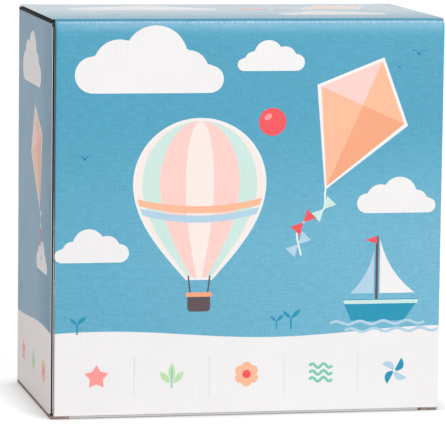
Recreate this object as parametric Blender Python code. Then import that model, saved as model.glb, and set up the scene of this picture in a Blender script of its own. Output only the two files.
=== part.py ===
"""Boxed paddle set: a reverse-tuck carton of corrugated board with two strapped paddles and a ball.

Metres, Z up. The front of the carton faces -Y and the middle of its base is at the origin.
"""
import math

import bmesh
import bpy
from mathutils import Matrix
from mathutils import Vector

# Gaps
GAP = 0.0003                      # between pieces that touch on the real object
CREASE_GAP = 0.0003               # between two panels along a crease

# Carton, outside sizes
CARTON_WIDTH = 0.2400             # left to right
CARTON_DEPTH = 0.1350             # front to back
CARTON_HEIGHT = 0.2400            # base to lid
BOARD = 0.0016                    # corrugated board, liners and flutes together
CREASE_ROUND = 0.0012             # rounding of the outside of a crease
LID_SIDE_INSET = 0.0003           # lid and base stop this far inside the side walls
SHOULDER_LENGTH = 0.0110          # slit-lock shoulder at each end of a tuck crease
SHOULDER_INSET = 0.0002           # shoulder ends this far inside the wall's outer face
SLIT = 0.0006                     # width of the slit between a shoulder and the tuck flap
TUCK_WALL_GAP = 0.0005            # between the tuck crease and the wall it slides behind

# Tuck flaps
TUCK_LENGTH = 0.0260
TUCK_LEAN = math.radians(11.5)    # a closed tuck flap leans this far away from its wall
TUCK_TAPER = 0.0070               # the flap narrows by this much at each end
TUCK_CORNER = 0.0100              # radius of its free corners

# Dust flaps
LID_DUST_DROP = 0.0012            # upper flaps hang this far below the lid
BASE_DUST_DROP = 0.0003           # lower flaps lie this far above the base
DUST_LENGTH = 0.0620
DUST_HINGE_INSET = 0.0009         # from the inner faces of the front and back walls
DUST_STEP = 0.0075                # how far the flap steps in behind a shoulder
DUST_FRONT_SLANT = 0.0380         # the hinge-side edge runs back this far over the flap's length
DUST_REAR_SLANT = 0.0080
DUST_CORNER = 0.0060

# Glue flap
GLUE_FLAP_WIDTH = 0.0280
GLUE_FLAP_TAPER = 0.0130          # its ends are cut back by this much

# Paddle outline, made of arcs that meet at a tangent
PADDLE_WIDTH = 0.2040
PADDLE_HEIGHT = 0.2200
CROWN_RADIUS = 0.1500             # broad top
SHOULDER_RADIUS = 0.0580          # upper corners
LOBE_RADIUS = 0.0200              # the two lower lobes
LOBE_SPREAD = 0.0400              # middle of a lobe from the centre line
NOTCH_RADIUS = 0.0440             # hollow between the lobes, for the wrist
PLYWOOD = 0.0060
PLYWOOD_EDGE = 0.0008             # sanded edge
CORK = 0.0030
CORK_INSET = 0.0030               # cork stops this far inside the plywood

# Strap slots
INNER_SLOT = 0.0560               # middle of the inner slots from the centre line
OUTER_SLOT = 0.0710               # middle of the outer slots from the centre line
SLOT_WIDTH = 0.0045
SLOT_LENGTH = 0.0400
RECESS_DEPTH = 0.0024             # hollow between a pair of slots, on the cork side

# Strap
STRAP_WIDTH = 0.0360
STRAP = 0.0015                    # webbing thickness
STRAP_HEIGHT = 0.0350             # middle of the strap above the middle of the paddle
STRAP_BEND = 0.0020               # bend radius through the slots
STRAP_RISE = 0.0340               # rise of the arch over the hand
STRAP_HALF_SPAN = 0.0460          # half the length of the arch along the board
STRAP_FOOT = 0.0080               # radius at each foot of the arch
HEM_LENGTH = 0.0180               # sewn end, from the inner slot towards the middle
TAB_END_ANGLE = math.radians(24)  # where the tab ends on the arch, from its top
PATCH = 0.0010                    # hook patch and loop patch, each
PATCH_WIDTH = 0.0320
PATCH_END_GAP = math.radians(4)   # patches stop this far from both ends of the tab's arc
BAND_END = 0.0004                 # the band comes up this far through the last slot
KEEPER_BAR = 0.0015
KEEPER_LENGTH = 0.0060            # along the strap
KEEPER_SIDE = 0.0026              # side bars
KEEPER_TO_SLOT = 0.0010           # between the keeper and the inner slot
KEEPER_EDGE = 0.0004              # moulded edge

# Packing
PADDLE_TO_TUCK = 0.0010           # between the cork and the tip of a tuck flap
BALL_DIAMETER = 0.0400

# Facets
CREASE_FACETS = 3
CORNER_FACETS = 5
ARC_STEP = math.radians(9)
BEND_STEP = math.radians(22.5)
ROUND_END_ANGLES = (math.radians(30), math.radians(55), math.radians(75))
BALL_SEGMENTS = 32
BALL_RINGS = 16

BLUE = (0.12, 0.43, 0.61)
WHITE = (0.90, 0.89, 0.89)
KRAFT = (0.42, 0.27, 0.16)
BIRCH = (0.80, 0.62, 0.42)
CORK_BROWN = (0.56, 0.33, 0.17)
WEBBING = (0.055, 0.045, 0.048)
PATCH_GREY = (0.16, 0.14, 0.14)
KEEPER_BLACK = (0.03, 0.03, 0.03)
RED = (0.80, 0.06, 0.07)


def material(name, colour, roughness):
    """Return a plain material with this colour."""
    made = bpy.data.materials.new(name)
    made.use_nodes = True
    shader = made.node_tree.nodes["Principled BSDF"]
    shader.inputs["Base Color"].default_value = (*colour, 1.0)
    shader.inputs["Roughness"].default_value = roughness
    return made


def add(name, mesh, look, place=None):
    """Add one named piece to the scene."""
    piece = bpy.data.objects.new(name, mesh)
    bpy.context.collection.objects.link(piece)
    piece.data.materials.clear()
    piece.data.materials.append(look)
    if place is not None:
        piece.matrix_world = place
    return piece


def finish(bm, name):
    """Turn an edited mesh into mesh data with outward faces."""
    bmesh.ops.recalc_face_normals(bm, faces=bm.faces)
    mesh = bpy.data.meshes.new(name)
    bm.to_mesh(mesh)
    bm.free()
    return mesh


def prism(outline, low, high):
    """Return an edited mesh: a flat outline carried from one height to another."""
    bm = bmesh.new()
    bottom = [bm.verts.new((x, y, low)) for x, y in outline]
    top = [bm.verts.new((x, y, high)) for x, y in outline]
    bm.faces.new(bottom[::-1])
    bm.faces.new(top)
    count = len(outline)
    for index in range(count):
        after = (index + 1) % count
        bm.faces.new((bottom[index], bottom[after], top[after], top[index]))
    bmesh.ops.recalc_face_normals(bm, faces=bm.faces)
    return bm


def plate(name, outline, creases=()):
    """Return a board plate. Its outer face is at height zero; listed outline edges are creases."""
    bm = prism(outline, -BOARD, 0.0)
    ends = [(Vector((*outline[i], 0.0)), Vector((*outline[(i + 1) % len(outline)], 0.0))) for i in creases]
    chosen = []
    for edge in bm.edges:
        a, b = (v.co for v in edge.verts)
        for p, q in ends:
            if near(a, b, p, q):
                chosen.append(edge)
    if chosen:
        bmesh.ops.bevel(bm, geom=chosen, offset=CREASE_ROUND, offset_type="OFFSET", segments=CREASE_FACETS,
                        profile=0.5, affect="EDGES", clamp_overlap=False, material=-1)
    return finish(bm, name)


def near(a, b, p, q):
    """Say whether the edge a-b has the ends p and q."""
    same = (a - p).length + (b - q).length
    swapped = (a - q).length + (b - p).length
    return min(same, swapped) < 1e-6


def rounded(corners):
    """Return an outline from (point, radius) corners; a radius of zero keeps the corner sharp."""
    points = []
    count = len(corners)
    for index, (here, radius) in enumerate(corners):
        if radius == 0.0:
            points.append(here)
            continue
        before = Vector(corners[index - 1][0]) - Vector(here)
        after = Vector(corners[(index + 1) % count][0]) - Vector(here)
        half = before.angle(after) / 2
        reach = radius / math.tan(half)
        middle = Vector(here) + (before.normalized() + after.normalized()).normalized() * radius / math.sin(half)
        start = Vector(here) + before.normalized() * reach - middle
        turn = start.angle_signed(Vector(here) + after.normalized() * reach - middle)
        for step in range(CORNER_FACETS + 1):
            spoke = start.copy()
            spoke.rotate(Matrix.Rotation(-turn * step / CORNER_FACETS, 2))
            points.append(tuple(middle + spoke))
    return points


def arc(centre, radius, start, end):
    """Return points along an arc, both ends included."""
    steps = max(2, math.ceil(abs(end - start) / ARC_STEP))
    angles = [start + (end - start) * step / steps for step in range(steps + 1)]
    return [(centre[0] + radius * math.cos(a), centre[1] + radius * math.sin(a)) for a in angles]


class Path:
    """A bent line drawn by walking: straight runs and turns of a given radius."""

    def __init__(self, start, heading):
        self.points = [Vector(start)]
        self.headings = [heading]

    def run(self, length):
        """Walk straight on."""
        heading = self.headings[-1]
        self.points.append(self.points[-1] + Vector((math.cos(heading), math.sin(heading))) * length)
        self.headings.append(heading)

    def turn(self, angle, radius):
        """Walk round a bend; a positive angle turns left."""
        side = math.copysign(1.0, angle)
        heading = self.headings[-1]
        centre = self.points[-1] + Vector((-math.sin(heading), math.cos(heading))) * radius * side
        steps = max(2, math.ceil(abs(angle) / min(BEND_STEP, ARC_STEP * max(1.0, 0.008 / radius))))
        for step in range(1, steps + 1):
            now = heading + angle * step / steps
            self.points.append(centre - Vector((-math.sin(now), math.cos(now))) * radius * side)
            self.headings.append(now)

    def ribbon(self, name, thickness, width, round_start=False):
        """Return mesh data: the walked line with a thickness, as wide as given along the paddle's height."""
        stations = [(point, heading, 1.0) for point, heading in zip(self.points, self.headings)]
        if round_start:
            start, heading, _ = stations[0]
            back = Vector((math.cos(heading), math.sin(heading))) * -thickness / 2
            for angle in ROUND_END_ANGLES:
                stations.insert(0, (start + back * math.sin(angle), heading, math.cos(angle)))
        rings = []
        bm = bmesh.new()
        for point, heading, share in stations:
            offset = Vector((-math.sin(heading), math.cos(heading))) * thickness / 2 * share
            ring = []
            for side, height in ((-1, -1), (1, -1), (1, 1), (-1, 1)):
                spot = point + offset * side
                ring.append(bm.verts.new((spot.x, spot.y, height * width / 2)))
            rings.append(ring)
        for first, second in zip(rings, rings[1:]):
            for index in range(4):
                after = (index + 1) % 4
                bm.faces.new((first[index], first[after], second[after], second[index]))
        bm.faces.new(rings[0])
        bm.faces.new(rings[-1][::-1])
        return finish(bm, name)


class Looks:
    """The plain materials of the part."""

    def __init__(self):
        self.print_blue = material("printed_board", BLUE, 0.45)
        self.plain_white = material("plain_board", WHITE, 0.55)
        self.kraft = material("kraft_board", KRAFT, 0.85)
        self.birch = material("birch_plywood", BIRCH, 0.55)
        self.cork = material("cork", CORK_BROWN, 0.9)
        self.webbing = material("webbing", WEBBING, 0.9)
        self.patch = material("hook_and_loop", PATCH_GREY, 0.95)
        self.keeper = material("keeper_plastic", KEEPER_BLACK, 0.4)
        self.rubber = material("ball_rubber", RED, 0.5)


HALF_WIDTH = CARTON_WIDTH / 2
HALF_DEPTH = CARTON_DEPTH / 2
WALL_INNER = HALF_DEPTH - BOARD                       # inner face of the front and back walls
SIDE_INNER = HALF_WIDTH - BOARD                       # inner face of the side walls
WALL_END = BOARD + CREASE_GAP                         # front and back walls stop this far from top and base
SIDE_TOP_END = BOARD + LID_DUST_DROP + WALL_END       # side walls stop this far below the top
SIDE_BASE_END = BOARD + BASE_DUST_DROP + WALL_END     # and this far above the base
TUCK_CREASE = WALL_INNER - TUCK_WALL_GAP + HALF_DEPTH  # from the lid hinge to the tuck crease
TUCK_HALF = HALF_WIDTH - LID_SIDE_INSET - SHOULDER_LENGTH
UPSIDE_DOWN = Matrix.Translation((0, 0, CARTON_HEIGHT)) @ Matrix.Rotation(math.pi, 4, "X")


def standing(x, y, z, heading):
    """Return the place of an upright plate whose outer face looks along a heading in the ground plane."""
    return Matrix.Translation((x, y, z)) @ Matrix.Rotation(heading, 4, "Z") @ Matrix.Rotation(math.pi / 2, 4, "X")


def build_walls(looks):
    """Add the four walls and the glue flap. Plate x runs to the right as seen from outside, plate y runs up."""
    low = WALL_END
    high = CARTON_HEIGHT - WALL_END
    front_left = -SIDE_INNER + GAP
    front = [(front_left, low), (HALF_WIDTH, low), (HALF_WIDTH, high), (front_left, high)]
    add("front_panel", plate("front_panel", front, (1, 3)), looks.print_blue,
        standing(0, -HALF_DEPTH, 0, 0.0))
    back = [(-HALF_WIDTH, low), (HALF_WIDTH, low), (HALF_WIDTH, high), (-HALF_WIDTH, high)]
    add("back_panel", plate("back_panel", back, (1, 3)), looks.print_blue,
        standing(0, HALF_DEPTH, 0, math.pi))
    side_low = SIDE_BASE_END
    side_high = CARTON_HEIGHT - SIDE_TOP_END
    butt = WALL_INNER - CREASE_GAP
    right = [(-butt, side_low), (butt, side_low), (butt, side_high), (-butt, side_high)]
    add("right_panel", plate("right_panel", right), looks.print_blue,
        standing(HALF_WIDTH, 0, 0, math.pi / 2))
    left = [(-butt, side_low), (HALF_DEPTH, side_low), (HALF_DEPTH, side_high), (-butt, side_high)]
    add("left_panel", plate("left_panel", left), looks.print_blue,
        standing(-HALF_WIDTH, 0, 0, -math.pi / 2))
    glue_front = butt
    glue_back = butt - GLUE_FLAP_WIDTH
    glue_low = side_low + GAP
    glue_high = side_high - GAP
    glue = [(glue_back, glue_low + GLUE_FLAP_TAPER), (glue_front, glue_low),
            (glue_front, glue_high), (glue_back, glue_high - GLUE_FLAP_TAPER)]
    add("glue_flap", plate("glue_flap", glue), looks.kraft,
        standing(-SIDE_INNER + GAP, 0, 0, -math.pi / 2))


def dust_outline(mirror):
    """Return a dust flap outline. Plate y runs away from its crease; plate x runs along it."""
    front = -WALL_INNER + DUST_HINGE_INSET
    rear = WALL_INNER - DUST_HINGE_INSET - TUCK_WALL_GAP
    step = HALF_WIDTH - TUCK_HALF - SLIT
    corners = [((front, 0.0), 0.0),
               ((rear, 0.0), 0.0),
               ((rear, step), 0.0),
               ((rear - DUST_STEP, step), 0.0),
               ((rear - DUST_STEP - DUST_REAR_SLANT, DUST_LENGTH), DUST_CORNER),
               ((front + DUST_FRONT_SLANT, DUST_LENGTH), DUST_CORNER),
               ((front, BOARD * 2), 0.0)]
    points = rounded(corners)
    if mirror:
        points = [(-x, y) for x, y in points]
    return points


def crease_edge(points):
    """Return the index of the outline edge that lies on the crease line."""
    for index, (_, y) in enumerate(points):
        if abs(y) < 1e-7 and abs(points[(index + 1) % len(points)][1]) < 1e-7:
            return index
    raise ValueError("no crease edge")


def build_closure(looks, prefix, turn, look, dust_drop):
    """Add a closing panel, its tuck flap and two dust flaps, for the top or, turned over, for the base."""
    half = HALF_WIDTH - LID_SIDE_INSET
    reach = CARTON_DEPTH - SHOULDER_INSET
    outline = [(-half, 0.0), (half, 0.0), (half, reach), (TUCK_HALF, reach), (TUCK_HALF, TUCK_CREASE),
               (-TUCK_HALF, TUCK_CREASE), (-TUCK_HALF, reach), (-half, reach)]
    hinge = Matrix.Translation((0, -HALF_DEPTH, CARTON_HEIGHT))
    add(prefix + "_panel", plate(prefix + "_panel", outline, (0, 4)), look, turn @ hinge)

    start = (BOARD + CREASE_GAP + BOARD * math.sin(TUCK_LEAN)) / math.cos(TUCK_LEAN)
    wide = TUCK_HALF - SLIT
    tuck = rounded([((-wide, start), 0.0), ((wide, start), 0.0), ((wide - TUCK_TAPER, TUCK_LENGTH), TUCK_CORNER),
                    ((TUCK_TAPER - wide, TUCK_LENGTH), TUCK_CORNER)])
    fold = Matrix.Translation((0, TUCK_CREASE - HALF_DEPTH, CARTON_HEIGHT))
    fold = fold @ Matrix.Rotation(-math.pi / 2 - TUCK_LEAN, 4, "X")
    add(prefix + "_tuck_flap", plate(prefix + "_tuck_flap", tuck), looks.kraft, turn @ fold)

    for name, side in (("left", -1), ("right", 1)):
        points = dust_outline(mirror=side < 0)
        place = Matrix.Translation((side * HALF_WIDTH, 0, CARTON_HEIGHT - BOARD - dust_drop))
        place = place @ Matrix.Rotation(side * math.pi / 2, 4, "Z")
        label = f"{prefix}_dust_flap_{name}"
        add(label, plate(label, points, (crease_edge(points),)), looks.plain_white, turn @ place)


def paddle_outline(inset):
    """Return the paddle outline, moved inwards by a given amount."""
    crown = (0.0, PADDLE_HEIGHT / 2 - CROWN_RADIUS)
    shoulder_x = PADDLE_WIDTH / 2 - SHOULDER_RADIUS
    reach = CROWN_RADIUS - SHOULDER_RADIUS
    shoulder = (shoulder_x, crown[1] + math.sqrt(reach ** 2 - shoulder_x ** 2))
    lobe = (LOBE_SPREAD, LOBE_RADIUS - PADDLE_HEIGHT / 2)
    notch = (0.0, lobe[1] - math.sqrt((NOTCH_RADIUS + LOBE_RADIUS) ** 2 - LOBE_SPREAD ** 2))
    crown_angle = math.atan2(shoulder[1] - crown[1], shoulder[0])
    down = math.atan2(lobe[1] - shoulder[1], lobe[0] - shoulder[0])
    apart = math.hypot(lobe[0] - shoulder[0], lobe[1] - shoulder[1])
    side_angle = down + math.acos((SHOULDER_RADIUS - LOBE_RADIUS) / apart)
    notch_angle = math.atan2(lobe[1] - notch[1], lobe[0])
    half = arc(crown, CROWN_RADIUS - inset, math.pi / 2, crown_angle)
    half += arc(shoulder, SHOULDER_RADIUS - inset, crown_angle, side_angle)[1:]
    half += arc(lobe, LOBE_RADIUS - inset, side_angle, notch_angle - math.pi)
    half += arc(notch, NOTCH_RADIUS + inset, notch_angle, math.pi / 2)[1:]
    other = [(-x, y) for x, y in half[-2:0:-1]]
    return half + other


def to_paddle(bm):
    """Stand a flat shape up: plate y becomes height, plate z becomes the hand side (+Y)."""
    bmesh.ops.transform(bm, matrix=Matrix.Rotation(math.pi / 2, 4, "X"), verts=bm.verts)
    bmesh.ops.scale(bm, vec=(1.0, -1.0, 1.0), verts=bm.verts)


def cutter(name, meshes):
    """Add a hidden cutting shape made of separate closed bodies."""
    bm = bmesh.new()
    for mesh in meshes:
        bm.from_mesh(mesh)
    piece = bpy.data.objects.new(name, finish(bm, name))
    bpy.context.collection.objects.link(piece)
    piece.hide_render = True
    piece.display_type = "WIRE"
    return piece


def block(low, high):
    """Return mesh data of a box between two corners."""
    bm = prism([(low[0], low[1]), (high[0], low[1]), (high[0], high[1]), (low[0], high[1])], low[2], high[2])
    return finish(bm, "block")


def slot_mesh(middle):
    """Return mesh data of one rounded strap slot through the plywood, at a place along the strap."""
    half = SLOT_WIDTH / 2
    long = SLOT_LENGTH / 2 - half
    outline = arc((middle, STRAP_HEIGHT + long), half, 0.0, math.pi)
    outline += arc((middle, STRAP_HEIGHT - long), half, math.pi, 2 * math.pi)
    bm = prism(outline, -PLYWOOD - GAP * 10, GAP * 10)
    to_paddle(bm)
    return finish(bm, "slot")


def board_mesh():
    """Return the plywood board: sanded edges, four slots, and two recesses on the cork side."""
    bm = prism(paddle_outline(0.0), -PLYWOOD, 0.0)
    rims = [e for e in bm.edges if abs(e.verts[0].co.z - e.verts[1].co.z) < 1e-7]
    bmesh.ops.bevel(bm, geom=rims, offset=PLYWOOD_EDGE, offset_type="OFFSET", segments=1, profile=0.5,
                    affect="EDGES", clamp_overlap=False, material=-1)
    to_paddle(bm)
    piece = bpy.data.objects.new("board_blank", finish(bm, "board_blank"))
    bpy.context.collection.objects.link(piece)
    slots = cutter("slot_cutter", [slot_mesh(side * place) for side in (-1, 1) for place in (INNER_SLOT, OUTER_SLOT)])
    low = STRAP_HEIGHT - SLOT_LENGTH / 2
    high = STRAP_HEIGHT + SLOT_LENGTH / 2
    near_side = -PLYWOOD - GAP * 10
    far_side = RECESS_DEPTH - PLYWOOD
    left = block((-OUTER_SLOT - SLOT_WIDTH / 2, near_side, low), (-INNER_SLOT + SLOT_WIDTH / 2, far_side, high))
    right = block((INNER_SLOT - SLOT_WIDTH / 2, near_side, low), (OUTER_SLOT + SLOT_WIDTH / 2, far_side, high))
    recesses = cutter("recess_cutter", [left, right])
    for tool in (slots, recesses):
        cut = piece.modifiers.new(tool.name, "BOOLEAN")
        cut.operation = "DIFFERENCE"
        cut.solver = "EXACT"
        cut.object = tool
    bpy.context.view_layer.update()
    shaped = piece.evaluated_get(bpy.context.evaluated_depsgraph_get())
    mesh = bpy.data.meshes.new_from_object(shaped)
    for spare in (piece, slots, recesses):
        bpy.data.objects.remove(spare)
    return mesh


def cork_mesh():
    """Return the cork facing on the hitting side of the board."""
    outer = -PLYWOOD - GAP - CORK
    bm = prism(paddle_outline(CORK_INSET), outer, outer + CORK)
    to_paddle(bm)
    return finish(bm, "cork")


UNDER_BRIDGE = RECESS_DEPTH / 2 - PLYWOOD                     # middle of the strap under a bridge
HEM_LEVEL = GAP + KEEPER_BAR + GAP + STRAP / 2                # middle of the sewn end
BAND_LEVEL = HEM_LEVEL + STRAP + GAP                          # middle of the band beside the arch
ARCH_ANGLE = 2 * math.atan(STRAP_RISE / STRAP_HALF_SPAN)
ARCH_RADIUS = STRAP_HALF_SPAN / math.sin(ARCH_ANGLE) - STRAP_FOOT
TAB_LIFT = STRAP + PATCH + PATCH + 3 * GAP                    # from the band up to the tab, middle to middle
FOLD_LEVEL = BAND_END + GAP + STRAP / 2                       # the tab turns about this line
KEEPER_PLACE = INNER_SLOT - SLOT_WIDTH / 2 - KEEPER_TO_SLOT - KEEPER_LENGTH / 2
QUARTER = math.pi / 2


def band_path():
    """Return the strap band: sewn end, loop round the right bridge, arch, loop under the left bridge."""
    path = Path((INNER_SLOT - HEM_LENGTH, HEM_LEVEL), 0.0)
    path.run(HEM_LENGTH - STRAP_BEND)
    path.turn(-QUARTER, STRAP_BEND)
    path.run(HEM_LEVEL - UNDER_BRIDGE - 2 * STRAP_BEND)
    path.turn(QUARTER, STRAP_BEND)
    path.run(OUTER_SLOT - INNER_SLOT - 2 * STRAP_BEND)
    path.turn(QUARTER, STRAP_BEND)
    path.run(BAND_LEVEL - UNDER_BRIDGE - 2 * STRAP_BEND)
    path.turn(QUARTER, STRAP_BEND)
    path.run(OUTER_SLOT - STRAP_BEND - STRAP_HALF_SPAN)
    path.turn(-ARCH_ANGLE, STRAP_FOOT)
    path.turn(2 * ARCH_ANGLE, ARCH_RADIUS)
    path.turn(-ARCH_ANGLE, STRAP_FOOT)
    path.run(INNER_SLOT - STRAP_BEND - STRAP_HALF_SPAN)
    path.turn(QUARTER, STRAP_BEND)
    path.run(BAND_LEVEL - UNDER_BRIDGE - 2 * STRAP_BEND)
    path.turn(-QUARTER, STRAP_BEND)
    path.run(OUTER_SLOT - INNER_SLOT - 2 * STRAP_BEND)
    path.turn(-QUARTER, STRAP_BEND)
    path.run(BAND_END - UNDER_BRIDGE - STRAP_BEND)
    return path


def tab_path():
    """Return the strap tab, walked from its fold above the outer left slot. The fold is at the path's origin."""
    path = Path((0.0, 0.0), QUARTER)
    path.run(BAND_LEVEL + TAB_LIFT - FOLD_LEVEL - STRAP_BEND)
    path.turn(-QUARTER, STRAP_BEND)
    path.run(OUTER_SLOT - STRAP_BEND - STRAP_HALF_SPAN)
    path.turn(ARCH_ANGLE, STRAP_FOOT - TAB_LIFT)
    path.turn(TAB_END_ANGLE - ARCH_ANGLE, ARCH_RADIUS + TAB_LIFT)
    return path


def patch_path(lift):
    """Return a patch that follows the arch at a given lift above the middle of the band."""
    centre = BAND_LEVEL + STRAP_RISE - ARCH_RADIUS
    radius = ARCH_RADIUS + lift
    start = ARCH_ANGLE - PATCH_END_GAP
    end = TAB_END_ANGLE + PATCH_END_GAP
    path = Path((-radius * math.sin(start), centre + radius * math.cos(start)), start)
    path.turn(end - start, radius)
    return path


def keeper_mesh():
    """Return the rectangular loop that holds the sewn end against the band."""
    window = STRAP_WIDTH / 2 + GAP
    side = window + KEEPER_SIDE
    low = GAP
    high = BAND_LEVEL + STRAP / 2 + GAP + KEEPER_BAR
    bm = bmesh.new()
    rings = []
    for x in (-KEEPER_LENGTH / 2, KEEPER_LENGTH / 2):
        outer = [bm.verts.new((x, y, z)) for y, z in ((low, -side), (high, -side), (high, side), (low, side))]
        a = low + KEEPER_BAR
        b = high - KEEPER_BAR
        inner = [bm.verts.new((x, y, z)) for y, z in ((a, -window), (b, -window), (b, window), (a, window))]
        rings.append((outer, inner))
    for index in range(4):
        after = (index + 1) % 4
        for outer, inner in rings:
            bm.faces.new((outer[index], outer[after], inner[after], inner[index]))
        for kind in (0, 1):
            first = rings[0][kind]
            second = rings[1][kind]
            bm.faces.new((first[index], first[after], second[after], second[index]))
    bmesh.ops.recalc_face_normals(bm, faces=bm.faces)
    sharp = [e for e in bm.edges if e.calc_face_angle() > QUARTER / 2]
    bmesh.ops.bevel(bm, geom=sharp, offset=KEEPER_EDGE, offset_type="OFFSET", segments=1, profile=0.5,
                    affect="EDGES", clamp_overlap=False, material=-1)
    return finish(bm, "keeper")


def build_paddles(looks):
    """Add the two paddles, upright, straps facing each other, standing on the base panel."""
    board = board_mesh()
    cork = cork_mesh()
    band = band_path().ribbon("band", STRAP, STRAP_WIDTH)
    tab = tab_path().ribbon("tab", STRAP, STRAP_WIDTH, round_start=True)
    loop = patch_path(STRAP / 2 + GAP + PATCH / 2).ribbon("loop", PATCH, PATCH_WIDTH)
    hook = patch_path(STRAP / 2 + GAP + PATCH + GAP + PATCH / 2).ribbon("hook", PATCH, PATCH_WIDTH)
    keeper = keeper_mesh()
    tuck_reach = TUCK_WALL_GAP + TUCK_LENGTH * math.sin(TUCK_LEAN) + BOARD * math.cos(TUCK_LEAN)
    cork_face = WALL_INNER - tuck_reach - PADDLE_TO_TUCK
    hand_face = cork_face - CORK - GAP - PLYWOOD
    middle = BOARD + GAP + PADDLE_HEIGHT / 2
    strap_place = Matrix.Translation((0, 0, STRAP_HEIGHT))
    for name, heading in (("front", 0.0), ("rear", math.pi)):
        place = Matrix.Translation((0, 0, middle)) @ Matrix.Rotation(heading, 4, "Z")
        place = place @ Matrix.Translation((0, -hand_face, 0))
        add(name + "_paddle_board", board.copy(), looks.birch, place)
        add(name + "_paddle_cork", cork.copy(), looks.cork, place)
        strap = place @ strap_place
        add(name + "_strap_band", band.copy(), looks.webbing, strap)
        add(name + "_loop_patch", loop.copy(), looks.patch, strap)
        add(name + "_strap_keeper", keeper.copy(), looks.keeper,
            strap @ Matrix.Translation((KEEPER_PLACE, 0, 0)))
        fold = Matrix.Translation((-OUTER_SLOT, FOLD_LEVEL, 0))
        add(name + "_strap_tab", tab.copy(), looks.webbing, strap @ fold)
        hook_here = hook.copy()
        hook_here.transform(fold.inverted())
        add(name + "_hook_patch", hook_here, looks.patch, strap @ fold)


def build_ball(looks):
    """Add the ball, resting on the base panel between the paddles."""
    bm = bmesh.new()
    bmesh.ops.create_uvsphere(bm, u_segments=BALL_SEGMENTS, v_segments=BALL_RINGS, radius=BALL_DIAMETER / 2)
    add("ball", finish(bm, "ball"), looks.rubber,
        Matrix.Translation((0, 0, BOARD + GAP + BALL_DIAMETER / 2)))


def main():
    """Build the boxed set."""
    for old in list(bpy.data.objects):
        bpy.data.objects.remove(old)
    looks = Looks()
    build_walls(looks)
    build_closure(looks, "lid", Matrix.Identity(4), looks.print_blue, LID_DUST_DROP)
    build_closure(looks, "base", UPSIDE_DOWN, looks.plain_white, BASE_DUST_DROP)
    build_paddles(looks)
    build_ball(looks)


main()
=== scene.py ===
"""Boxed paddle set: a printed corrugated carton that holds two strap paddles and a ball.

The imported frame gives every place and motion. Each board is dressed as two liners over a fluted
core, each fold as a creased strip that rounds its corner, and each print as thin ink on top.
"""

from __future__ import annotations

import logging
import math
from dataclasses import dataclass, field
from enum import Enum
from functools import lru_cache
from typing import Iterable, Optional, Sequence, Union

import bmesh
import bpy
from mathutils import Matrix, Vector, noise


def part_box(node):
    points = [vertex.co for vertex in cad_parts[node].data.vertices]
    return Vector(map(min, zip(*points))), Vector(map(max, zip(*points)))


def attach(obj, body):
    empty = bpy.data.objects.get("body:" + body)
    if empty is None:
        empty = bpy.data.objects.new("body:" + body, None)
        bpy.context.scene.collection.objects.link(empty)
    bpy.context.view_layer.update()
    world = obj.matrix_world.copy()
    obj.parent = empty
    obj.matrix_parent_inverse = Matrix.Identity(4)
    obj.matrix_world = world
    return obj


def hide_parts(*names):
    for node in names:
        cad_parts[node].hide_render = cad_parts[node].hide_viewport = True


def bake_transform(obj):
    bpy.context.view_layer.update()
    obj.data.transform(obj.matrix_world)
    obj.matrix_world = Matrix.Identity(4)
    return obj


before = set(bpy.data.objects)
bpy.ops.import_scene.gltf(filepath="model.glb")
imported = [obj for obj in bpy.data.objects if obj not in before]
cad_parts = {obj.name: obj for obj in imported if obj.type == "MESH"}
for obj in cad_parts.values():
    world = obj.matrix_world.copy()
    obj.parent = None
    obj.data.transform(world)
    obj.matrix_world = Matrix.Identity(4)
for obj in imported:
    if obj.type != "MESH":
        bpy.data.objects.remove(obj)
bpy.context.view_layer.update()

LOG = logging.getLogger("boxed_paddle_set")
MM = 0.001
X = Vector((1.0, 0.0, 0.0))
Y = Vector((0.0, 1.0, 0.0))
Z = Vector((0.0, 0.0, 1.0))

BOARD = 1.6 * MM            # corrugated board, liners and flutes together
CREASE_GAP = 0.3 * MM       # the frame leaves this much between two panels along a crease
PRINT_DEPTH = 0.12 * MM     # the printed face lies this far inside the frame's board
FLUTE_PITCH = 3.3 * MM
BAND_TOP = 50.0 * MM        # the white band of the print reaches up to here
BAND_SWELL = 2.6 * MM
BAND_WAVE = 210.0 * MM
PRESS_LENGTH = 8.5 * MM     # a wall curves in over this length beside a deep crease
SHEEN_FOOT = 95.0 * MM       # painted sheen: the walls' blue pales between these two heights, standing in for reflected light
SHEEN_TOP = 190.0 * MM
SHEEN_MIDDLE = 0.70          # share of the painted sheen half-way across a wall
SHEEN_DRIFT = 2.25           # and its gain per metre to the right
HIGHLIGHT_MIDDLE = -44.0 * MM  # the painted highlight under the lid's crease is strongest here, across the front
HIGHLIGHT_CORE = 20.0 * MM     # fully within this distance of it
HIGHLIGHT_REACH = 90.0 * MM    # and least beyond this one
SCUFF_TOP = 118.0 * MM      # the front left corner is scuffed below this height
SCUFF_FADE = 25.0 * MM      # and the scuffing fades over this length, up and down
FLAKE_SCALE = 480.0         # flakes of ink or paper per metre, roughly
CORNER_SHADE_START = -5.0 * MM      # painted shade: on the side walls the blue darkens from here
CORNER_SHADE_END = -64.0 * MM       # to here, beside the front corner
WELD = 1e-6                 # points of a frame solid that are closer than this are one point
CUT_SLACK = 1e-7            # points closer than this to a cut or a seam lie on it

Outline = list[Vector]
Shape = bmesh.types.BMesh
Material = bpy.types.Material
Socket = bpy.types.NodeSocket
Feed = Union[Socket, float, str, Sequence[float]]  # a text is a screen colour


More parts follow.
